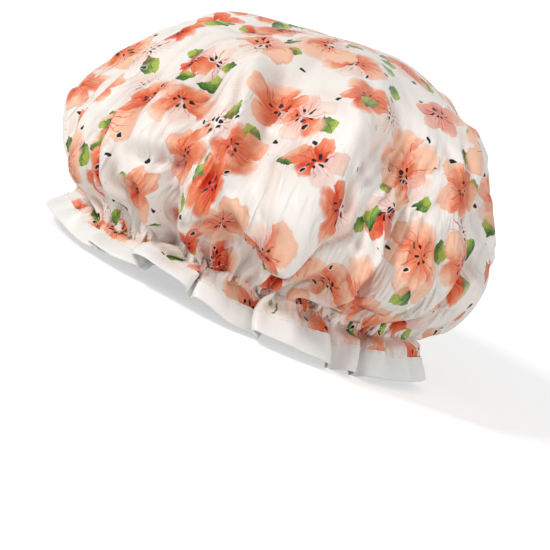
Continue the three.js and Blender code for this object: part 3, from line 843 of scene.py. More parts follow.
class Bench:
    """Makes the nodes of one material, or of the world."""

    def __init__(self, owner: bpy.types.Material | bpy.types.World) -> None:
        """Empties the owner's node tree, to fill it anew."""
        owner.use_nodes = True
        self.owner, self.tree = owner, owner.node_tree
        self.tree.nodes.clear()

    @classmethod
    def material(cls, name: str) -> "Bench":
        """Returns the bench of a new material."""
        return cls(bpy.data.materials.new(name))

    def node(self, kind: str, settings: dict[str, Any] | None = None, inputs: Any = (), out: Any = 0) -> Any:
        """Makes a node.

        Args:
            kind: its type.
            settings: its properties.
            inputs: values or wires by place, or by name in a dict.
            out: the output wanted, or None for the node itself.

        Returns:
            A wire on that output, or the node.
        """
        made = self.tree.nodes.new(kind)
        for key, value in (settings or {}).items():
            setattr(made, key, value)
        for key, value in inputs.items() if isinstance(inputs, dict) else enumerate(inputs):
            if isinstance(value, Wire):
                self.tree.links.new(value.socket, made.inputs[key])
            elif value is not None:
                made.inputs[key].default_value = value
        return made if out is None else Wire(self, made.outputs[out])

    def mix(self, share: "Wire | float", a: Any, b: Any) -> Wire:
        """Returns the colour between a and b at the share."""
        made = self.node("ShaderNodeMix", {"data_type": "RGBA"}, {0: share, 6: a, 7: b}, None)
        return Wire(self, made.outputs[2])

    def vector(self, operation: str, *inputs: Any) -> Wire:
        """Returns the result of a Vector Math node."""
        return self.node("ShaderNodeVectorMath", {"operation": operation}, inputs)

    def length(self, v: Wire) -> Wire:
        """Returns the vector's length."""
        return self.node("ShaderNodeVectorMath", {"operation": "LENGTH"}, [v], 1)

    def parts(self, v: Wire) -> tuple[Wire, Wire, Wire]:
        """Returns the vector's three numbers."""
        made = self.node("ShaderNodeSeparateXYZ", None, [v], None)
        return tuple(Wire(self, made.outputs[i]) for i in range(3))

    def cloth_place(self) -> Wire:
        """Returns the place on the flat cut, in millimetres."""
        uv = self.node("ShaderNodeUVMap", {"uv_map": "cut"})
        return self.vector("MULTIPLY", uv, (1000.0, 1000.0, 0.0))

    def noise(self, at: Wire, size: float, detail: float = 2.0, out: int = 0) -> Wire:
        """Returns cloudy noise with spots of about the given size, in millimetres."""
        return self.node("ShaderNodeTexNoise", None, {"Vector": at, "Scale": 1 / size, "Detail": detail}, out)

    def close(self, shader: dict[str, Any]) -> bpy.types.Material:
        """Ends the material in one Principled shader.

        Args:
            shader: the shader's inputs by name.

        Returns:
            The material.
        """
        surface = self.node("ShaderNodeBsdfPrincipled", None, shader)
        self.node("ShaderNodeOutputMaterial", None, [surface], None)
        return self.owner


def rgb(red: float, green: float, blue: float) -> tuple[float, float, float, float]:
    """Returns a screen colour, 0 to 255, as the linear one that a shader takes."""
    shares = (((c / 255 + 0.055) / 1.055) ** 2.4 if c > 10 else c / 3294 for c in (red, green, blue))
    return (*shares, 1.0)


@dataclass(frozen=True)
class FloralSatin:
    """Warm white satin with scattered watercolour blossoms, leaves and seed dots of its own layout.

    Attributes:
        belt: the elastic's radius on the cut, in millimetres.
        ground: the cloth's colour.
        roughness: of its gloss.
    """

    belt: float
    ground: tuple = rgb(250, 244, 238)
    roughness: float = 0.36

    # The print's paints.
    BLUSH = rgb(255, 224, 208)
    HEART = rgb(220, 60, 28)
    CORAL = rgb(239, 128, 88)
    TIP = rgb(255, 204, 174)
    RIM = rgb(230, 100, 62)
    STROKE = rgb(208, 66, 38)
    STAMEN = rgb(16, 8, 6)
    LEAF_FOOT = rgb(178, 196, 84)
    LEAF = rgb(96, 142, 56)
    LEAF_TIP = rgb(40, 84, 34)
    VEIN = rgb(34, 74, 38)
    SEED = rgb(14, 8, 8)

    def scatter(self, bench: Bench, at: Wire, cell: float, turn: float, loose: float) -> tuple[Wire, ...]:
        """Scatters places over the cut.

        Args:
            bench: the material's bench.
            at: the place on the cut.
            cell: spacing in millimetres.
            turn: angle of the grid that the places stray from.
            loose: how far they stray, 0 to 1.

        Returns:
            The offset from the nearest place, turned by its own chance angle, three chances, and the
            distance to the line half-way to the next place.
        """
        flat = {"rotation_type": "Z_AXIS"}
        grid = bench.node("ShaderNodeVectorRotate", flat, {"Vector": at, "Angle": turn})
        grid = bench.vector("ADD", grid, (turn * 971.0, turn * 577.0, 0.0))
        inputs = {"Vector": grid, "Scale": 1 / cell, "Randomness": loose}
        cells = bench.node("ShaderNodeTexVoronoi", {"voronoi_dimensions": "2D"}, inputs, None)
        edges = {"voronoi_dimensions": "2D", "feature": "DISTANCE_TO_EDGE"}
        margin = bench.node("ShaderNodeTexVoronoi", edges, inputs, "Distance") * cell
        place, colour = Wire(bench, cells.outputs["Position"]), Wire(bench, cells.outputs["Color"])
        one, two, three = bench.parts(colour)
        offset = bench.vector("SUBTRACT", grid, place)
        spun = bench.node("ShaderNodeVectorRotate", flat, {"Vector": offset, "Angle": one * TURN})
        return spun, one, two, three, margin

    def blossoms(self, bench: Bench, under: Wire, at: Wire, cell: float, turn: float, kept: float) -> Wire:
        """Paints five-petalled blossoms over a colour.

        Args:
            bench: the material's bench.
            under: the colour below.
            at: the place on the cut.
            cell: spacing in millimetres.
            turn: angle of their grid.
            kept: share of the places that have a blossom.

        Returns:
            The painted colour: each petal is an oval in its own fifth of the turn, deep at the
            heart and pale at the tip, with strokes and stamens; a few blossoms are strokes alone.
        """
        offset, one, two, three, margin = self.scatter(bench, at, cell, turn, 0.62)
        x, y, _ = bench.parts(offset)
        far = bench.length(offset)
        fifth = TURN / 5
        bearing = y.maths("ARCTAN2", x)
        index = (bearing / fifth).maths("ROUND")
        lean = bearing - index * fifth
        chance = bench.node("ShaderNodeCombineXYZ", None, [index.maths("WRAP", 5.0, 0.0), one * 37.0, turn])
        luck = bench.parts(bench.node("ShaderNodeTexWhiteNoise", {"noise_dimensions": "3D"}, [chance], 1))
        size = (three * 0.34 + 0.78) * (luck[0] * 0.46 + 0.72) * 22.0
        along = far * lean.maths("COSINE") / size
        across = far * lean.maths("SINE") / size
        breadth = luck[1] * 0.14 + 0.35
        oval = ((along - 0.50) / 0.52).maths("POWER", 2.0) + (across / breadth).maths("POWER", 2.0)
        notch = (across.maths("ABSOLUTE") * -9.0).maths("EXPONENT") * 0.30 * along.step(0.55, 1.0)
        mottle = bench.noise(at, 5.0, 3.0)
        shape = oval + notch + (mottle - 0.5) * 0.35
        faint = luck[2].step(0.72, 0.92)
        wash = luck[1].step(0.50, 0.75)
        petal = (shape.step(1.10, 0.84) * (1.0 - wash) + shape.step(1.35, 0.45) * wash) * (1.0 - faint * 0.72)
        tone = along + (mottle - 0.5) * 0.7 + across * (luck[1] - 0.5) * 1.8
        tone = tone + (luck[0] - 0.5) * 0.5 + (three - 0.5) * 0.7
        coral = bench.mix(tone.step(-0.05, 0.42), self.HEART, self.CORAL)
        coral = bench.mix(tone.step(0.45, 1.05), coral, self.TIP)
        coral = bench.mix(shape.step(0.70, 1.0) * (luck[2] * 0.7), coral, self.RIM)
        third = fifth / 3
        which = (lean / third).maths("ROUND")
        slip = lean - which * third
        mark = bench.node("ShaderNodeCombineXYZ", None, [which + index * 7.0, one * 61.0, turn + 3.0])
        run = bench.node("ShaderNodeTexWhiteNoise", {"noise_dimensions": "3D"}, [mark])
        stroke = (far * slip.maths("SINE")).maths("ABSOLUTE").step(0.40, 0.14)
        stroke = stroke * along.step(0.16, 0.24) * (along - run * 0.36).step(0.36, 0.24)
        ghost = two.step(0.72, 0.73)
        fill = petal * (1.0 - ghost * 0.86) * (margin + (mottle - 0.5) * 9.0).step(-0.2, 2.0)
        here = two.step(kept * 0.99, kept * 0.98)
        colour = bench.mix(fill * here, under, coral)
        colour = bench.mix(stroke * (1.0 - faint * 0.4) * 0.8 * here, colour, self.STROKE)
        sixth = TURN / 6
        spoke = (bearing / sixth).maths("ROUND")
        swing = bearing - spoke * sixth
        seed = bench.node("ShaderNodeCombineXYZ", None, [spoke.maths("WRAP", 6.0, 0.0), two * 53.0, turn])
        reach = bench.node("ShaderNodeTexWhiteNoise", {"noise_dimensions": "3D"}, [seed]) * 3.4 + 2.2
        forth, aside = far * swing.maths("COSINE"), far * swing.maths("SINE")
        bud = ((forth - reach) * 0.66).maths("POWER", 2.0) + (aside * 1.05).maths("POWER", 2.0)
        stalk = aside.maths("ABSOLUTE").step(0.40, 0.18) * forth.step(0.9, 1.5)
        stalk = stalk * (forth - reach).step(0.2, -0.2)
        dark = bud.step(1.2, 0.7).maths("MAXIMUM", stalk * 0.35)
        return bench.mix(dark * here, colour, self.STAMEN)

    def leaves(self, bench: Bench, under: Wire, at: Wire, cell: float, turn: float, kept: float) -> Wire:
        """Paints leaves over a colour.

        Args:
            bench: the material's bench.
            under: the colour below.
            at: the place on the cut.
            cell: spacing in millimetres.
            turn: angle of their grid.
            kept: share of the places that have a leaf.

        Returns:
            The painted colour: pointed ovals, yellow green at the foot and dark at the tip, with a
            rib and slanting veins, and here and there a short curved stem in place of a leaf.
        """
        offset, one, two, three, _ = self.scatter(bench, at, cell, turn, 0.9)
        x, y, _ = bench.parts(offset)
        long = three * 3.2 + 6.0
        u = x / long
        bow = y - (u * u) * (one - 0.5) * 3.0
        half = (1.0 - u * u).maths("MAXIMUM", 0.0) * (1.12 - u * 0.45) * (long * 0.68)
        mottle = bench.noise(at, 3.0, 3.0)
        leaf = (half - bow.maths("ABSOLUTE") + (mottle - 0.5) * 2.4).step(-0.1, 0.5)
        tone = u * 0.5 + 0.5 + (mottle - 0.5) * 0.9 + bow * 0.08
        green = bench.mix(tone.step(0.10, 0.62), self.LEAF_FOOT, self.LEAF)
        green = bench.mix(tone.step(0.60, 1.05), green, self.LEAF_TIP)
        vein = ((x * 1.5 + bow.maths("ABSOLUTE") * 2.0).maths("SINE")).maths("ABSOLUTE").step(0.28, 0.06)
        vein = vein.maths("MAXIMUM", bow.maths("ABSOLUTE").step(0.45, 0.15))
        green = bench.mix(vein * 0.6, green, self.VEIN)
        arc = bench.length(bench.vector("ADD", offset, (0.0, 7.0, 0.0)))
        stem = (arc - 8.0).maths("ABSOLUTE").step(1.0, 0.6)
        stem = stem * x.maths("ABSOLUTE").step(5.2, 4.6) * y.step(-5.0, -4.0)
        curl = three.step(0.86, 0.87)
        mark = leaf * (1.0 - curl) + stem * curl
        return bench.mix(mark * two.step(kept, kept - 0.01), under, green)

    def dots(self, bench: Bench, under: Wire, at: Wire) -> Wire:
        """Paints small black ovals over a colour.

        Args:
            bench: the material's bench.
            under: the colour below.
            at: the place on the cut.

        Returns:
            The painted colour, each oval in a pale ring.
        """
        offset, _, two, _, _ = self.scatter(bench, at, 27.0, 0.83, 1.0)
        oval = bench.length(bench.vector("MULTIPLY", offset, (0.78, 1.1, 0.0)))
        here = two.step(0.70, 0.69)
        colour = bench.mix(oval.step(2.2, 1.6) * here * 0.7, under, self.ground)
        return bench.mix(oval.step(1.55, 1.25) * here, colour, self.SEED)

    def colour(self, bench: Bench, place: Wire) -> Wire:
        """Paints the print layer over layer.

        Args:
            bench: the material's bench.
            place: the place on the cut.

        Returns:
            The colour on a faintly clouded ground, its shapes a little frayed, with painted shade in the
            cloth's hollows: darker and deeper there, as light thrown to and fro between the folds would leave
            it.
        """
        stray = bench.vector("SUBTRACT", bench.noise(place, 9.0, 2.0, 1), (0.5, 0.5, 0.5))
        at = bench.vector("ADD", place, bench.vector("MULTIPLY", stray, (8.0, 8.0, 0.0)))
        cloud = bench.noise(place, 40.0, 2.0)
        colour = bench.mix(cloud.step(0.52, 0.80) * 0.5, self.ground, self.BLUSH)
        colour = self.leaves(bench, colour, at, 31.0, 0.35, 0.55)
        colour = self.blossoms(bench, colour, at, 52.0, 0.22, 0.92)
        colour = self.leaves(bench, colour, at, 36.0, 1.27, 0.45)
        colour = self.blossoms(bench, colour, at, 56.0, 1.05, 0.86)
        colour = self.dots(bench, colour, at)
        # Painted shade: the print is darkened and deepened by the depth of the cloth's hollows, standing in
        # for shadow in the folds.
        hollow_shade = bench.node("ShaderNodeAttribute", {"attribute_name": "hollow_shade"}, (), "Fac")
        return bench.mix(hollow_shade * 0.75, colour, bench.vector("MULTIPLY", colour, (0.66, 0.5, 0.46)))

    @staticmethod
    def rays(bench: Bench, place: Wire, count: float) -> Wire:
        """Returns places for noise in rays: count steps to a radian round the cut, few along it."""
        around = bench.vector("MULTIPLY", bench.vector("NORMALIZE", place), (count, count, 0.0))
        return bench.vector("ADD", around, bench.vector("MULTIPLY", place, (0.03, 0.03, 0.0)))

    def about(self, reach: Wire, inside: float, width: float) -> Wire:
        """Returns a bell of the given width over the radius, centred inside the elastic, in millimetres."""
        return (((reach - self.belt + inside) / width).maths("POWER", 2.0) * -1.0).maths("EXPONENT")

    def relief(self, bench: Bench, place: Wire) -> Wire:
        """Works out the fine relief.

        Args:
            bench: the material's bench.
            place: the place on the cut.

        Returns:
            The bumped normal: cloudy crinkles, fine pleats about the elastic, and sharp creases
            that fan out from it in patches.
        """
        reach = bench.length(place)
        crinkle = bench.noise(place, 14.0, 3.0) + bench.noise(place, 3.5, 2.0) * 0.25
        pleat = bench.noise(self.rays(bench, place, 95.0), 1.0, 1.0) * self.about(reach, 0.0, 17.0)
        fan = bench.noise(self.rays(bench, place, 19.0), 1.0, 1.0)
        ridge = ((fan - 0.5) * 6.0).maths("ABSOLUTE").step(0.9, 0.0)
        patch = bench.noise(place, 38.0, 1.0).step(0.36, 0.60) * 0.8 + 0.2
        height = crinkle + pleat * 2.2 + ridge * patch * self.about(reach, 30.0, 75.0) * 4.2
        return bench.node("ShaderNodeBump", None, {"Strength": 0.4, "Distance": 0.0012, "Height": height})

    def make(self) -> bpy.types.Material:
        """Makes the printed satin.

        Returns:
            The material.
        """
        bench = Bench.material("printed_satin")
        place = bench.cloth_place()
        return bench.close({
            "Base Color": self.colour(bench, place),
            "Roughness": self.roughness,
            "Specular IOR Level": 0.25,
            "Sheen Weight": 0.06,
            "Sheen Roughness": 0.4,
            "Normal": self.relief(bench, place),
        })


@dataclass(frozen=True)
class PlainFilm:
    """A plain sheet or thread.

    Attributes:
        name: of the material.
        colour: all over.
        roughness: of its gloss.
        grain: size of its fine relief, in millimetres of the cut.
        relief: depth of that relief, in metres.
    """

    name: str
    colour: tuple
    roughness: float
    grain: float = 4.0
    relief: float = 0.3 * MM

    def make(self) -> bpy.types.Material:
        """Makes the finish.

        Returns:
            The material: one colour over a faint cloudy relief.
        """
        bench = Bench.material(self.name)
        height = bench.noise(bench.cloth_place(), self.grain, 3.0)
        sockets = {"Strength": 0.4, "Distance": self.relief, "Height": height}
        bump = bench.node("ShaderNodeBump", None, sockets)
        return bench.close({"Base Color": self.colour, "Roughness": self.roughness, "Normal": bump})


@dataclass
class Piece:
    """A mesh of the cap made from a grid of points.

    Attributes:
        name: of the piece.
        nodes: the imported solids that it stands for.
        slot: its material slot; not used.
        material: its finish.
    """

    name: str
    nodes: tuple[str, ...]
    slot: Slot
    material: bpy.types.Material

    def build(self, points: Array, cut: Array, quads: Array) -> bpy.types.Object:
        """Makes the mesh and ties it to the frame.

        Args:
            points: its corners, (n, 3).
            cut: their places on the flat cut, (n, 2).
            quads: the faces, (m, 4).

        Returns:
            The new object.
        """
        mesh = bpy.data.meshes.new(self.name)
        mesh.vertices.add(len(points))
        mesh.vertices.foreach_set("co", np.ascontiguousarray(points, np.float32).ravel())
        mesh.loops.add(quads.size)
        mesh.loops.foreach_set("vertex_index", np.ascontiguousarray(quads, np.int32).ravel())
        mesh.polygons.add(len(quads))
        mesh.polygons.foreach_set("loop_start", np.arange(0, quads.size, 4, dtype=np.int32))
        mesh.update(calc_edges=True)
        mesh.polygons.foreach_set("use_smooth", np.ones(len(quads), bool))
        layer = mesh.uv_layers.new(name="cut")
        layer.data.foreach_set("uv", np.ascontiguousarray(cut[quads.ravel()], np.float32).ravel())
        mesh.validate()
        mesh.materials.append(self.material)
        made = bpy.data.objects.new(self.name, mesh)
        bpy.context.scene.collection.objects.link(made)
        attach(made, "root")
        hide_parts(*self.nodes)
        LOG.info("%s: %d faces", self.name, len(quads))
        return made


def grid_quads(rows: int, columns: int, closed: bool, wrapped: bool = False) -> Array:
    """Lists the faces of a grid of points kept row by row.

    Args:
        rows: its rows.
        columns: its columns.
        closed: whether the last column meets the first.
        wrapped: whether the last row meets the first.

    Returns:
        Four corner numbers a face.
    """
    index = np.arange(rows * columns).reshape(rows, columns)
    if closed:
        index = np.concatenate([index, index[:, :1]], axis=1)
    if wrapped:
        index = np.concatenate([index, index[:1]], axis=0)
    return np.stack([index[:-1, :-1], index[1:, :-1], index[1:, 1:], index[:-1, 1:]], -1).reshape(-1, 4)


@dataclass
class Crown:
    """The satin and the lining film under it.

    Attributes:
        cloth: the laid satin.
        ply: distance from the satin to the lining, in metres.
        belt: how far the lining parts from the satin round the elastic, in metres.
        clear: least distance from the satin to the lining, in metres.
    """

    cloth: Cloth
    ply: float = 1.0 * MM
    belt: float = 9 * MM
    clear: float = 0.5 * MM

    def cut(self) -> Array:
        """Returns the grid's places on the flat cut."""
        c = self.cloth
        return np.stack([c.radius * np.cos(c.angle), c.radius * np.sin(c.angle)], -1)

    def disc(self) -> tuple[tuple[float, float], float]:
        """Measures the flat disc.

        Returns:
            Its width and length, and its area as taken in.
        """
        wide = 2 * self.cloth.edge
        radius = np.linspace(0, self.cloth.edge, 400)
        kept = TURN * radius * self.cloth.gathers.keep(radius)
        area = float(((kept[1:] + kept[:-1]) / 2 * np.diff(radius)).sum())
        return (wide, wide), area

    def satin(self, material: bpy.types.Material) -> bpy.types.Object:
        """Makes the satin.

        Args:
            material: its finish.

        Returns:
            The whole grid of the laid cloth, with the depth of its hollows as an attribute.
        """
        n = self.cloth.points.shape[0]
        piece = Piece("printed_satin_crown", ("outer_crown",), Slot.SATIN, material)
        points, cut = self.cloth.points.reshape(-1, 3), self.cut().reshape(-1, 2)
        made = piece.build(points, cut, grid_quads(n, n, False))
        # Depth of the hollows, by which the satin's colour is darkened as painted shade.
        layer = made.data.attributes.new("hollow_shade", "FLOAT", "POINT")
        layer.data.foreach_set("value", self.cloth.hollows().astype(np.float32).ravel())
        flat, area = self.disc()
        return made

    def cleared(self, points: Array, outward: Array) -> Array:
        """Moves the lining in where it comes too near to the satin.

        Args:
            points: the lining's points, one for every second point of the satin.
            outward: the form's outward directions there.

        Returns:
            The points, moved in step by step by what is lacking at the satin's nine points round
            each, measured to the mean of the lining's points there. Inside the binding they stay.
        """
        c = self.cloth
        n = c.points.shape[0]
        free = ramp(c.edge - 16 * MM, c.edge - 22 * MM, c.radius)
        for _ in range(8):
            full = np.empty_like(c.points)
            full[::2, ::2] = points
            full[1::2, ::2] = (points[1:] + points[:-1]) / 2
            full[:, 1::2] = (full[:, 2::2] + full[:, :-2:2]) / 2
            gap = ((c.points - full) * c.normals).sum(-1)
            lack = np.pad(np.clip(self.clear - gap, 0, MM) * free, 1)
            near = np.max([lack[i : i + n : 2, j : j + n : 2] for i in range(3) for j in range(3)], axis=0)
            points = points - outward * near[..., None]
        return points

    def lining(self, material: bpy.types.Material) -> bpy.types.Object:
        """Makes the lining film.

        Args:
            material: its finish.

        Returns:
            Every second point of the satin moved in by the ply, further in by a bell about the
            elastic, so that the elastic lies between the two, and in wherever it came too near.
        """
        c = self.cloth
        form = c.gathers.form
        s = np.s_[::2, ::2]
        _, _, outward = form.frame_at(c.angle[s], c.gathers.share(c.radius[s]))
        part = self.belt * np.exp(-(((c.radius[s] - form.girth()) / (9 * MM)) ** 2))
        points = c.points[s] - c.normals[s] * self.ply - outward * part[..., None]
        points = self.cleared(points, outward)
        points[..., 2] = np.maximum(points[..., 2], 0.6 * MM)
        n = points.shape[0]
        quads = grid_quads(n, n, False)[:, ::-1]
        piece = Piece("lining_sheet", ("waterproof_lining",), Slot.LINING, material)
        made = piece.build(points.reshape(-1, 3), self.cut()[s].reshape(-1, 2), quads)
        flat, area = self.disc()
        return made


@dataclass
class Hem:
    """The white binding folded over the hem's edge.

    Attributes:
        cloth: the laid satin.
        width: of the binding on each face, in metres.
        puff: how far it stands off the cloth, in metres.
        columns: points round the cap.
    """

    cloth: Cloth
    width: float = 16 * MM
    puff: float = 1.0 * MM
    columns: int = 900

    def build(self, material: bpy.types.Material) -> bpy.types.Object:
        """Makes the binding.

        Args:
            material: its finish.

        Returns:
            A strip that runs down the outside, round the cloth's edge in a half turn and up the
            inside. It is thinnest at its sewn edges and fullest near the fold, with small puckers.
        """
        edge = self.cloth.edge
        angle = np.linspace(0, TURN, self.columns, endpoint=False)
        down = np.linspace(0, 1, 13)
        turn = np.linspace(0, math.pi, 9)[1:-1]
        depth = np.concatenate([down, 1 + 0 * turn, down[::-1]])
        side = np.concatenate([1 + 0 * down, np.cos(turn), -1 - 0 * down])
        past = np.concatenate([0 * down, np.sin(turn), 0 * down])
        full = self.puff * (0.35 + 0.65 * np.sin(np.clip(depth, 0, 1) * 2.2) ** 2 / 0.98)
        pucker = 0.5 * MM * np.sin(angle * 190 + 2.5 * np.sin(angle * 23))[None]
        lift = side[:, None] * (full[:, None] + pucker * np.exp(-depth * 6)[:, None])
        radius = edge - self.width * (1 - depth)
        points = self.cloth.at(*np.broadcast_arrays(radius[:, None], angle[None], lift))
        inside = self.cloth.at(*np.broadcast_arrays(np.full((1, 1), edge - 2 * MM), angle[None]))
        outward = unit(self.cloth.at(*np.broadcast_arrays(np.full((1, 1), edge), angle[None])) - inside)
        points += outward * (past * self.puff)[:, None, None]
        points[..., 2] = np.maximum(points[..., 2], 0)
        run = np.concatenate([[0], np.cumsum(np.linalg.norm(np.diff(points, axis=0), axis=2).mean(1))])
        long = TURN * edge * self.cloth.gathers.full
        cut = np.stack(np.broadcast_arrays(angle[None] / TURN * long, run[:, None]), -1)
        piece = Piece("hem_binding", ("hem_band",), Slot.BINDING, material)
        quads = grid_quads(len(depth), self.columns, True)
        made = piece.build(points.reshape(-1, 3), cut.reshape(-1, 2), quads)
        return made


@dataclass
class ElasticTape:
    """The flat elastic inside the channel, with its lapped and tacked join.

    Attributes:
        form: the cap's form.
        width: of the tape, in metres.
        thick: of the tape, in metres.
        lap: length of the join, in metres.
        columns: points along the tape.
    """

    form: CapForm
    width: float = 6 * MM
    thick: float = 0.8 * MM
    lap: float = 22 * MM
    columns: int = 360

    def level(self, points: Array) -> Array:
        """Returns the level directions from the elastic's middle to points."""
        return unit((points - np.array([*self.form.middle, 0.0])) * np.array([1, 1, 0]))

    def build(self, tape: bpy.types.Material, thread: bpy.types.Material) -> list[bpy.types.Object]:
        """Makes the tape and its tack.

        Args:
            tape: the elastic's finish.
            thread: the tack's finish.

        Returns:
            A ribbed strip along the elastic's line that passes its own start by the lap, and a
            small zigzag of thread through the join.
        """
        around = TURN + self.lap / self.form.rim_end
        angle = np.linspace(0, around, self.columns) + math.pi / 2 - (around - TURN)
        one = np.ones_like(angle)
        base, _, _ = self.form.frame_at(angle, one)
        out = self.level(base)
        ply = self.thick * (ramp(TURN - 0.1, TURN + 0.05, angle - angle[0]) * 1.15)
        corner = np.linspace(0, TURN, 24, endpoint=False)
        flat = np.sign(np.cos(corner)) * np.abs(np.cos(corner)) ** 0.4 * self.width / 2
        deep = np.sign(np.sin(corner)) * np.abs(np.sin(corner)) ** 0.7 * self.thick / 2
        rib = 1 + 0.25 * np.cos(corner * 12)
        points = base[None] + out[None] * (ply[None] + (deep * rib)[:, None])[..., None]
        points[..., 2] += flat[:, None]
        long = float(np.linalg.norm(np.diff(base, axis=0), axis=1).sum())
        cut = np.stack(np.broadcast_arrays(np.linspace(0, long, self.columns)[None], flat[:, None]), -1)
        piece = Piece("elastic_tape", ("elastic_loop",), Slot.ELASTIC, tape)
        quads = grid_quads(len(corner), self.columns, False, True)
        made = piece.build(points.reshape(-1, 3), cut.reshape(-1, 2), quads)
        s = np.linspace(0, 1, 60)
        place = angle[0] + (around - TURN) * (0.2 + 0.6 * s)
        path = self.form.point(place, np.ones_like(place))
        outward = self.level(path)
        path = path + outward * (self.thick * 1.75)
        path[:, 2] += 1.8 * MM * np.arcsin(np.sin(s * TURN * 4)) / (math.pi / 2)
        return [made, Stitches.tube("elastic_tack_thread", "elastic_tack", path, outward, thread)]


@dataclass
class Stitches:
    """The rows of thread along the channel and the hem.

    Attributes:
        cloth: the laid satin.
        length: of a stitch, in metres.
        pitch: from stitch to stitch on the cut, in metres.
        thread: its half thickness, in metres.
        channel: distance of the channel's rows from the elastic's line on the cut, in metres.
        inset: distance of the hem's row from the cloth's edge, in metres.
        over: height of the hem's row over the satin, in metres.
    """

    cloth: Cloth
    length: float = 2.6 * MM
    pitch: float = 3.6 * MM
    thread: float = 0.2 * MM
    channel: float = 6.5 * MM
    inset: float = 14 * MM
    over: float = 0.7 * MM

    @staticmethod
    def tube(name: str, node: str, path: Array, out: Array, material: bpy.types.Material) -> bpy.types.Object:
        """Makes one run of thread.

        Args:
            name: of the piece.
            node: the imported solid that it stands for.
            path: its middle line.
            out: directions away from the cloth.
            material: its finish.

        Returns:
            A round tube of six sides along the line.
        """
        side = unit(np.cross(unit(np.gradient(path, axis=0)), out))
        turn = np.linspace(0, TURN, 6, endpoint=False)[:, None, None]
        points = path[None] + 0.28 * MM * (np.cos(turn) * out[None] + np.sin(turn) * side[None])
        cut = np.zeros((points[..., 0].size, 2))
        quads = grid_quads(6, len(path), False, True)
        return Piece(name, (node,), Slot.THREAD, material).build(points.reshape(-1, 3), cut, quads)

    def row(
        self, name: str, node: str, radius: float, lift: float, material: bpy.types.Material
    ) -> bpy.types.Object:
        """Sews one row.

        Args:
            name: of the piece.
            node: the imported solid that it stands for.
            radius: of the row on the flat disc.
            lift: height over the satin.
            material: its finish.

        Returns:
            Separate stitches, each a short tube along the cloth whose ends dip below its face.
        """
        long = TURN * radius * float(self.cloth.gathers.keep(np.array(radius)))
        count = int(long / self.pitch)
        s = np.linspace(-0.5, 0.5, 7)
        middle = np.arange(count) / count * TURN
        angle = middle[:, None] + s[None] * (self.length / long * TURN)
        rise = lift + self.thread * (1.2 - 2.6 * (2 * s) ** 4)
        path = self.cloth.at(np.full_like(angle, radius), angle, np.broadcast_to(rise, angle.shape))
        under = self.cloth.at(np.full_like(angle, radius), angle)
        out = unit(self.cloth.at(np.full_like(angle, radius), angle, MM) - under)
        side = unit(np.cross(unit(np.gradient(path, axis=1)), out))
        turn = np.linspace(0, TURN, 6, endpoint=False)[:, None, None, None]
        tube = path[None] + self.thread * (np.cos(turn) * out[None] + np.sin(turn) * side[None])
        points = np.moveaxis(tube, 1, 0)
        one = grid_quads(6, len(s), False, True)
        quads = (one[None] + (np.arange(count) * 6 * len(s))[:, None, None]).reshape(-1, 4)
        cut = np.zeros((points[..., 0].size, 2))
        return Piece(name, (node,), Slot.THREAD, material).build(points.reshape(-1, 3), cut, quads)


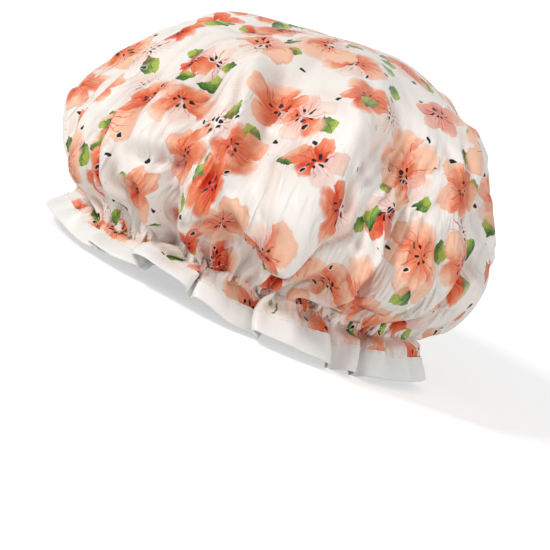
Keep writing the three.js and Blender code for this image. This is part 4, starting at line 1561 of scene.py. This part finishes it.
@dataclass(frozen=True)
class Studio:
    """The floor, the light and the camera.

    Attributes:
        azimuth: of the camera about the cap, in degrees.
        elevation: of the camera, in degrees.
        roll: of the picture, in degrees.
        distance: of the camera, in metres.
        scale: picture points in a metre at the cap.
        origin: where the cap's origin falls in the picture.
        frame: the picture's side, in its points.
    """

    azimuth: float = 65.0
    elevation: float = 9.0
    roll: float = 25.0
    distance: float = 1.46
    scale: float = 1489.0
    origin: tuple[float, float] = (234.9, 298.3)
    frame: float = 550.0

    # The lamps: place, side, power and colour.
    LAMPS = (
        ((0.5, -1.5, 1.1), 0.3, 17.5, (1, 0.99, 0.97)),
        ((1.6, 0.05, 0.25), 0.6, 3, (1, 1, 1)),
        ((1.2, 1.0, 0.1), 0.6, 5, (1, 1, 1)),
    )

    def camera(self) -> None:
        """Sets the camera at the photograph's angle."""
        a, e, r = (math.radians(v) for v in (self.azimuth, self.elevation, self.roll))
        right = Vector((math.cos(a), math.sin(a), 0))
        back = Vector((math.sin(a) * math.cos(e), -math.cos(a) * math.cos(e), math.sin(e)))
        up = back.cross(right)
        over = math.cos(r) * up - math.sin(r) * right
        along = math.cos(r) * right + math.sin(r) * up
        half = self.frame / 2
        look = along * (half - self.origin[0]) / self.scale + over * (self.origin[1] - half) / self.scale
        data = bpy.data.cameras.new("camera")
        data.sensor_width = 36
        data.lens = 36 * self.distance / (self.frame / self.scale)
        made = bpy.data.objects.new("camera", data)
        place = look + back * self.distance
        rows = [(along[i], over[i], back[i], place[i]) for i in range(3)]
        made.matrix_world = Matrix([*rows, (0, 0, 0, 1)])
        bpy.context.scene.collection.objects.link(made)
        bpy.context.scene.camera = made

    def lamp(self, place: tuple[float, float, float], size: float, power: float, colour: tuple) -> None:
        """Hangs one soft square lamp that looks at the cap.

        Args:
            place: where it hangs.
            size: its side.
            power: in watts.
            colour: of its light.
        """
        data = bpy.data.lights.new("lamp", "AREA")
        data.size, data.energy, data.color = size, power, colour
        made = bpy.data.objects.new("lamp", data)
        made.location = place
        made.rotation_euler = (Vector((0, 0, 0.09)) - Vector(place)).to_track_quat("-Z", "Y").to_euler()
        bpy.context.scene.collection.objects.link(made)

    def seen(self, bench: Bench) -> Wire:
        """Tells what looks straight at the stage.

        Args:
            bench: the bench of the floor or the world.

        Returns:
            1 for rays from the camera, mirrored or passed through, else 0.
        """
        made = bench.node("ShaderNodeLightPath", None, (), None)
        names = ("Is Camera Ray", "Is Glossy Ray", "Is Transmission Ray")
        rays = [Wire(bench, made.outputs[name]) for name in names]
        return rays[0].maths("MAXIMUM", rays[1]).maths("MAXIMUM", rays[2])

    def floor(self) -> None:
        """Lays a white floor that shows the cap's shadow."""
        bench = Bench.material("floor")
        matt = bench.node("ShaderNodeBsdfDiffuse", None, {"Color": (0.8, 0.8, 0.8, 1)})
        away = bench.length(bench.node("ShaderNodeTexCoord", None, (), "Object")).step(0.3, 1.0)
        shine = self.seen(bench) * (away * 0.3 + 0.55)
        glow = bench.node("ShaderNodeEmission", None, {"Color": (1, 1, 1, 1), "Strength": shine})
        both = bench.node("ShaderNodeAddShader", None, [matt, glow])
        bench.node("ShaderNodeOutputMaterial", None, [both], None)
        mesh = bpy.data.meshes.new("floor")
        mesh.from_pydata([(-9, -9, 0), (9, -9, 0), (9, 9, 0), (-9, 9, 0)], [], [(0, 1, 2, 3)])
        mesh.materials.append(bench.owner)
        made = bpy.data.objects.new("floor", mesh)
        bpy.context.scene.collection.objects.link(made)
        made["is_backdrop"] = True

    def world(self) -> None:
        """Surrounds the cap with soft white light, and with white where the camera looks."""
        sky = bpy.data.worlds.new("studio")
        bpy.context.scene.world = sky
        bench = Bench(sky)
        strength = self.seen(bench) * 0.61 + 0.39
        light = bench.node("ShaderNodeBackground", None, [(1, 1, 1, 1), strength])
        bench.node("ShaderNodeOutputWorld", None, [light], None)

    def build(self) -> None:
        """Sets the whole stage."""
        self.floor()
        self.world()
        for lamp in self.LAMPS:
            self.lamp(*lamp)
        self.camera()
        bpy.context.scene.view_settings.view_transform = "Standard"


def main() -> None:
    """Builds the cap piece by piece, and the stage."""
    logging.basicConfig(level=logging.INFO, format="%(message)s")
    form = CapForm.from_frame()
    cloth = Cloth(Gathers(form))
    cloth.lay()
    binding = PlainFilm("white_binding", rgb(244, 246, 243), 0.42)
    thread = PlainFilm("white_thread", rgb(246, 244, 241), 0.6).make()
    crown = Crown(cloth)
    crown.satin(FloralSatin(form.girth() / MM).make())
    crown.lining(PlainFilm("lining_film", rgb(238, 238, 236), 0.4).make())
    Hem(cloth).build(binding.make())
    tape = PlainFilm("elastic_braid", rgb(236, 234, 230), 0.8, 0.8).make()
    ElasticTape(form).build(tape, thread)
    girth = form.girth()
    sewing = Stitches(cloth)
    sewing.row("upper_channel_stitches", "channel_stitching_upper", girth - sewing.channel, 0.0, thread)
    sewing.row("lower_channel_stitches", "channel_stitching_lower", girth + sewing.channel, 0.0, thread)
    sewing.row("hem_stitches", "hem_stitching", cloth.edge - sewing.inset, sewing.over, thread)
    Studio().build()
    low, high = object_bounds()
    sizes = {"cad": [list(CAD_BOX[0]), list(CAD_BOX[1])], "visual": [list(low), list(high)]}
    for key, box in sizes.items():
        LOG.info("%s box in mm: %s", key, [[round(v / MM, 1) for v in corner] for corner in box])


if __name__ == "__main__":
    main()
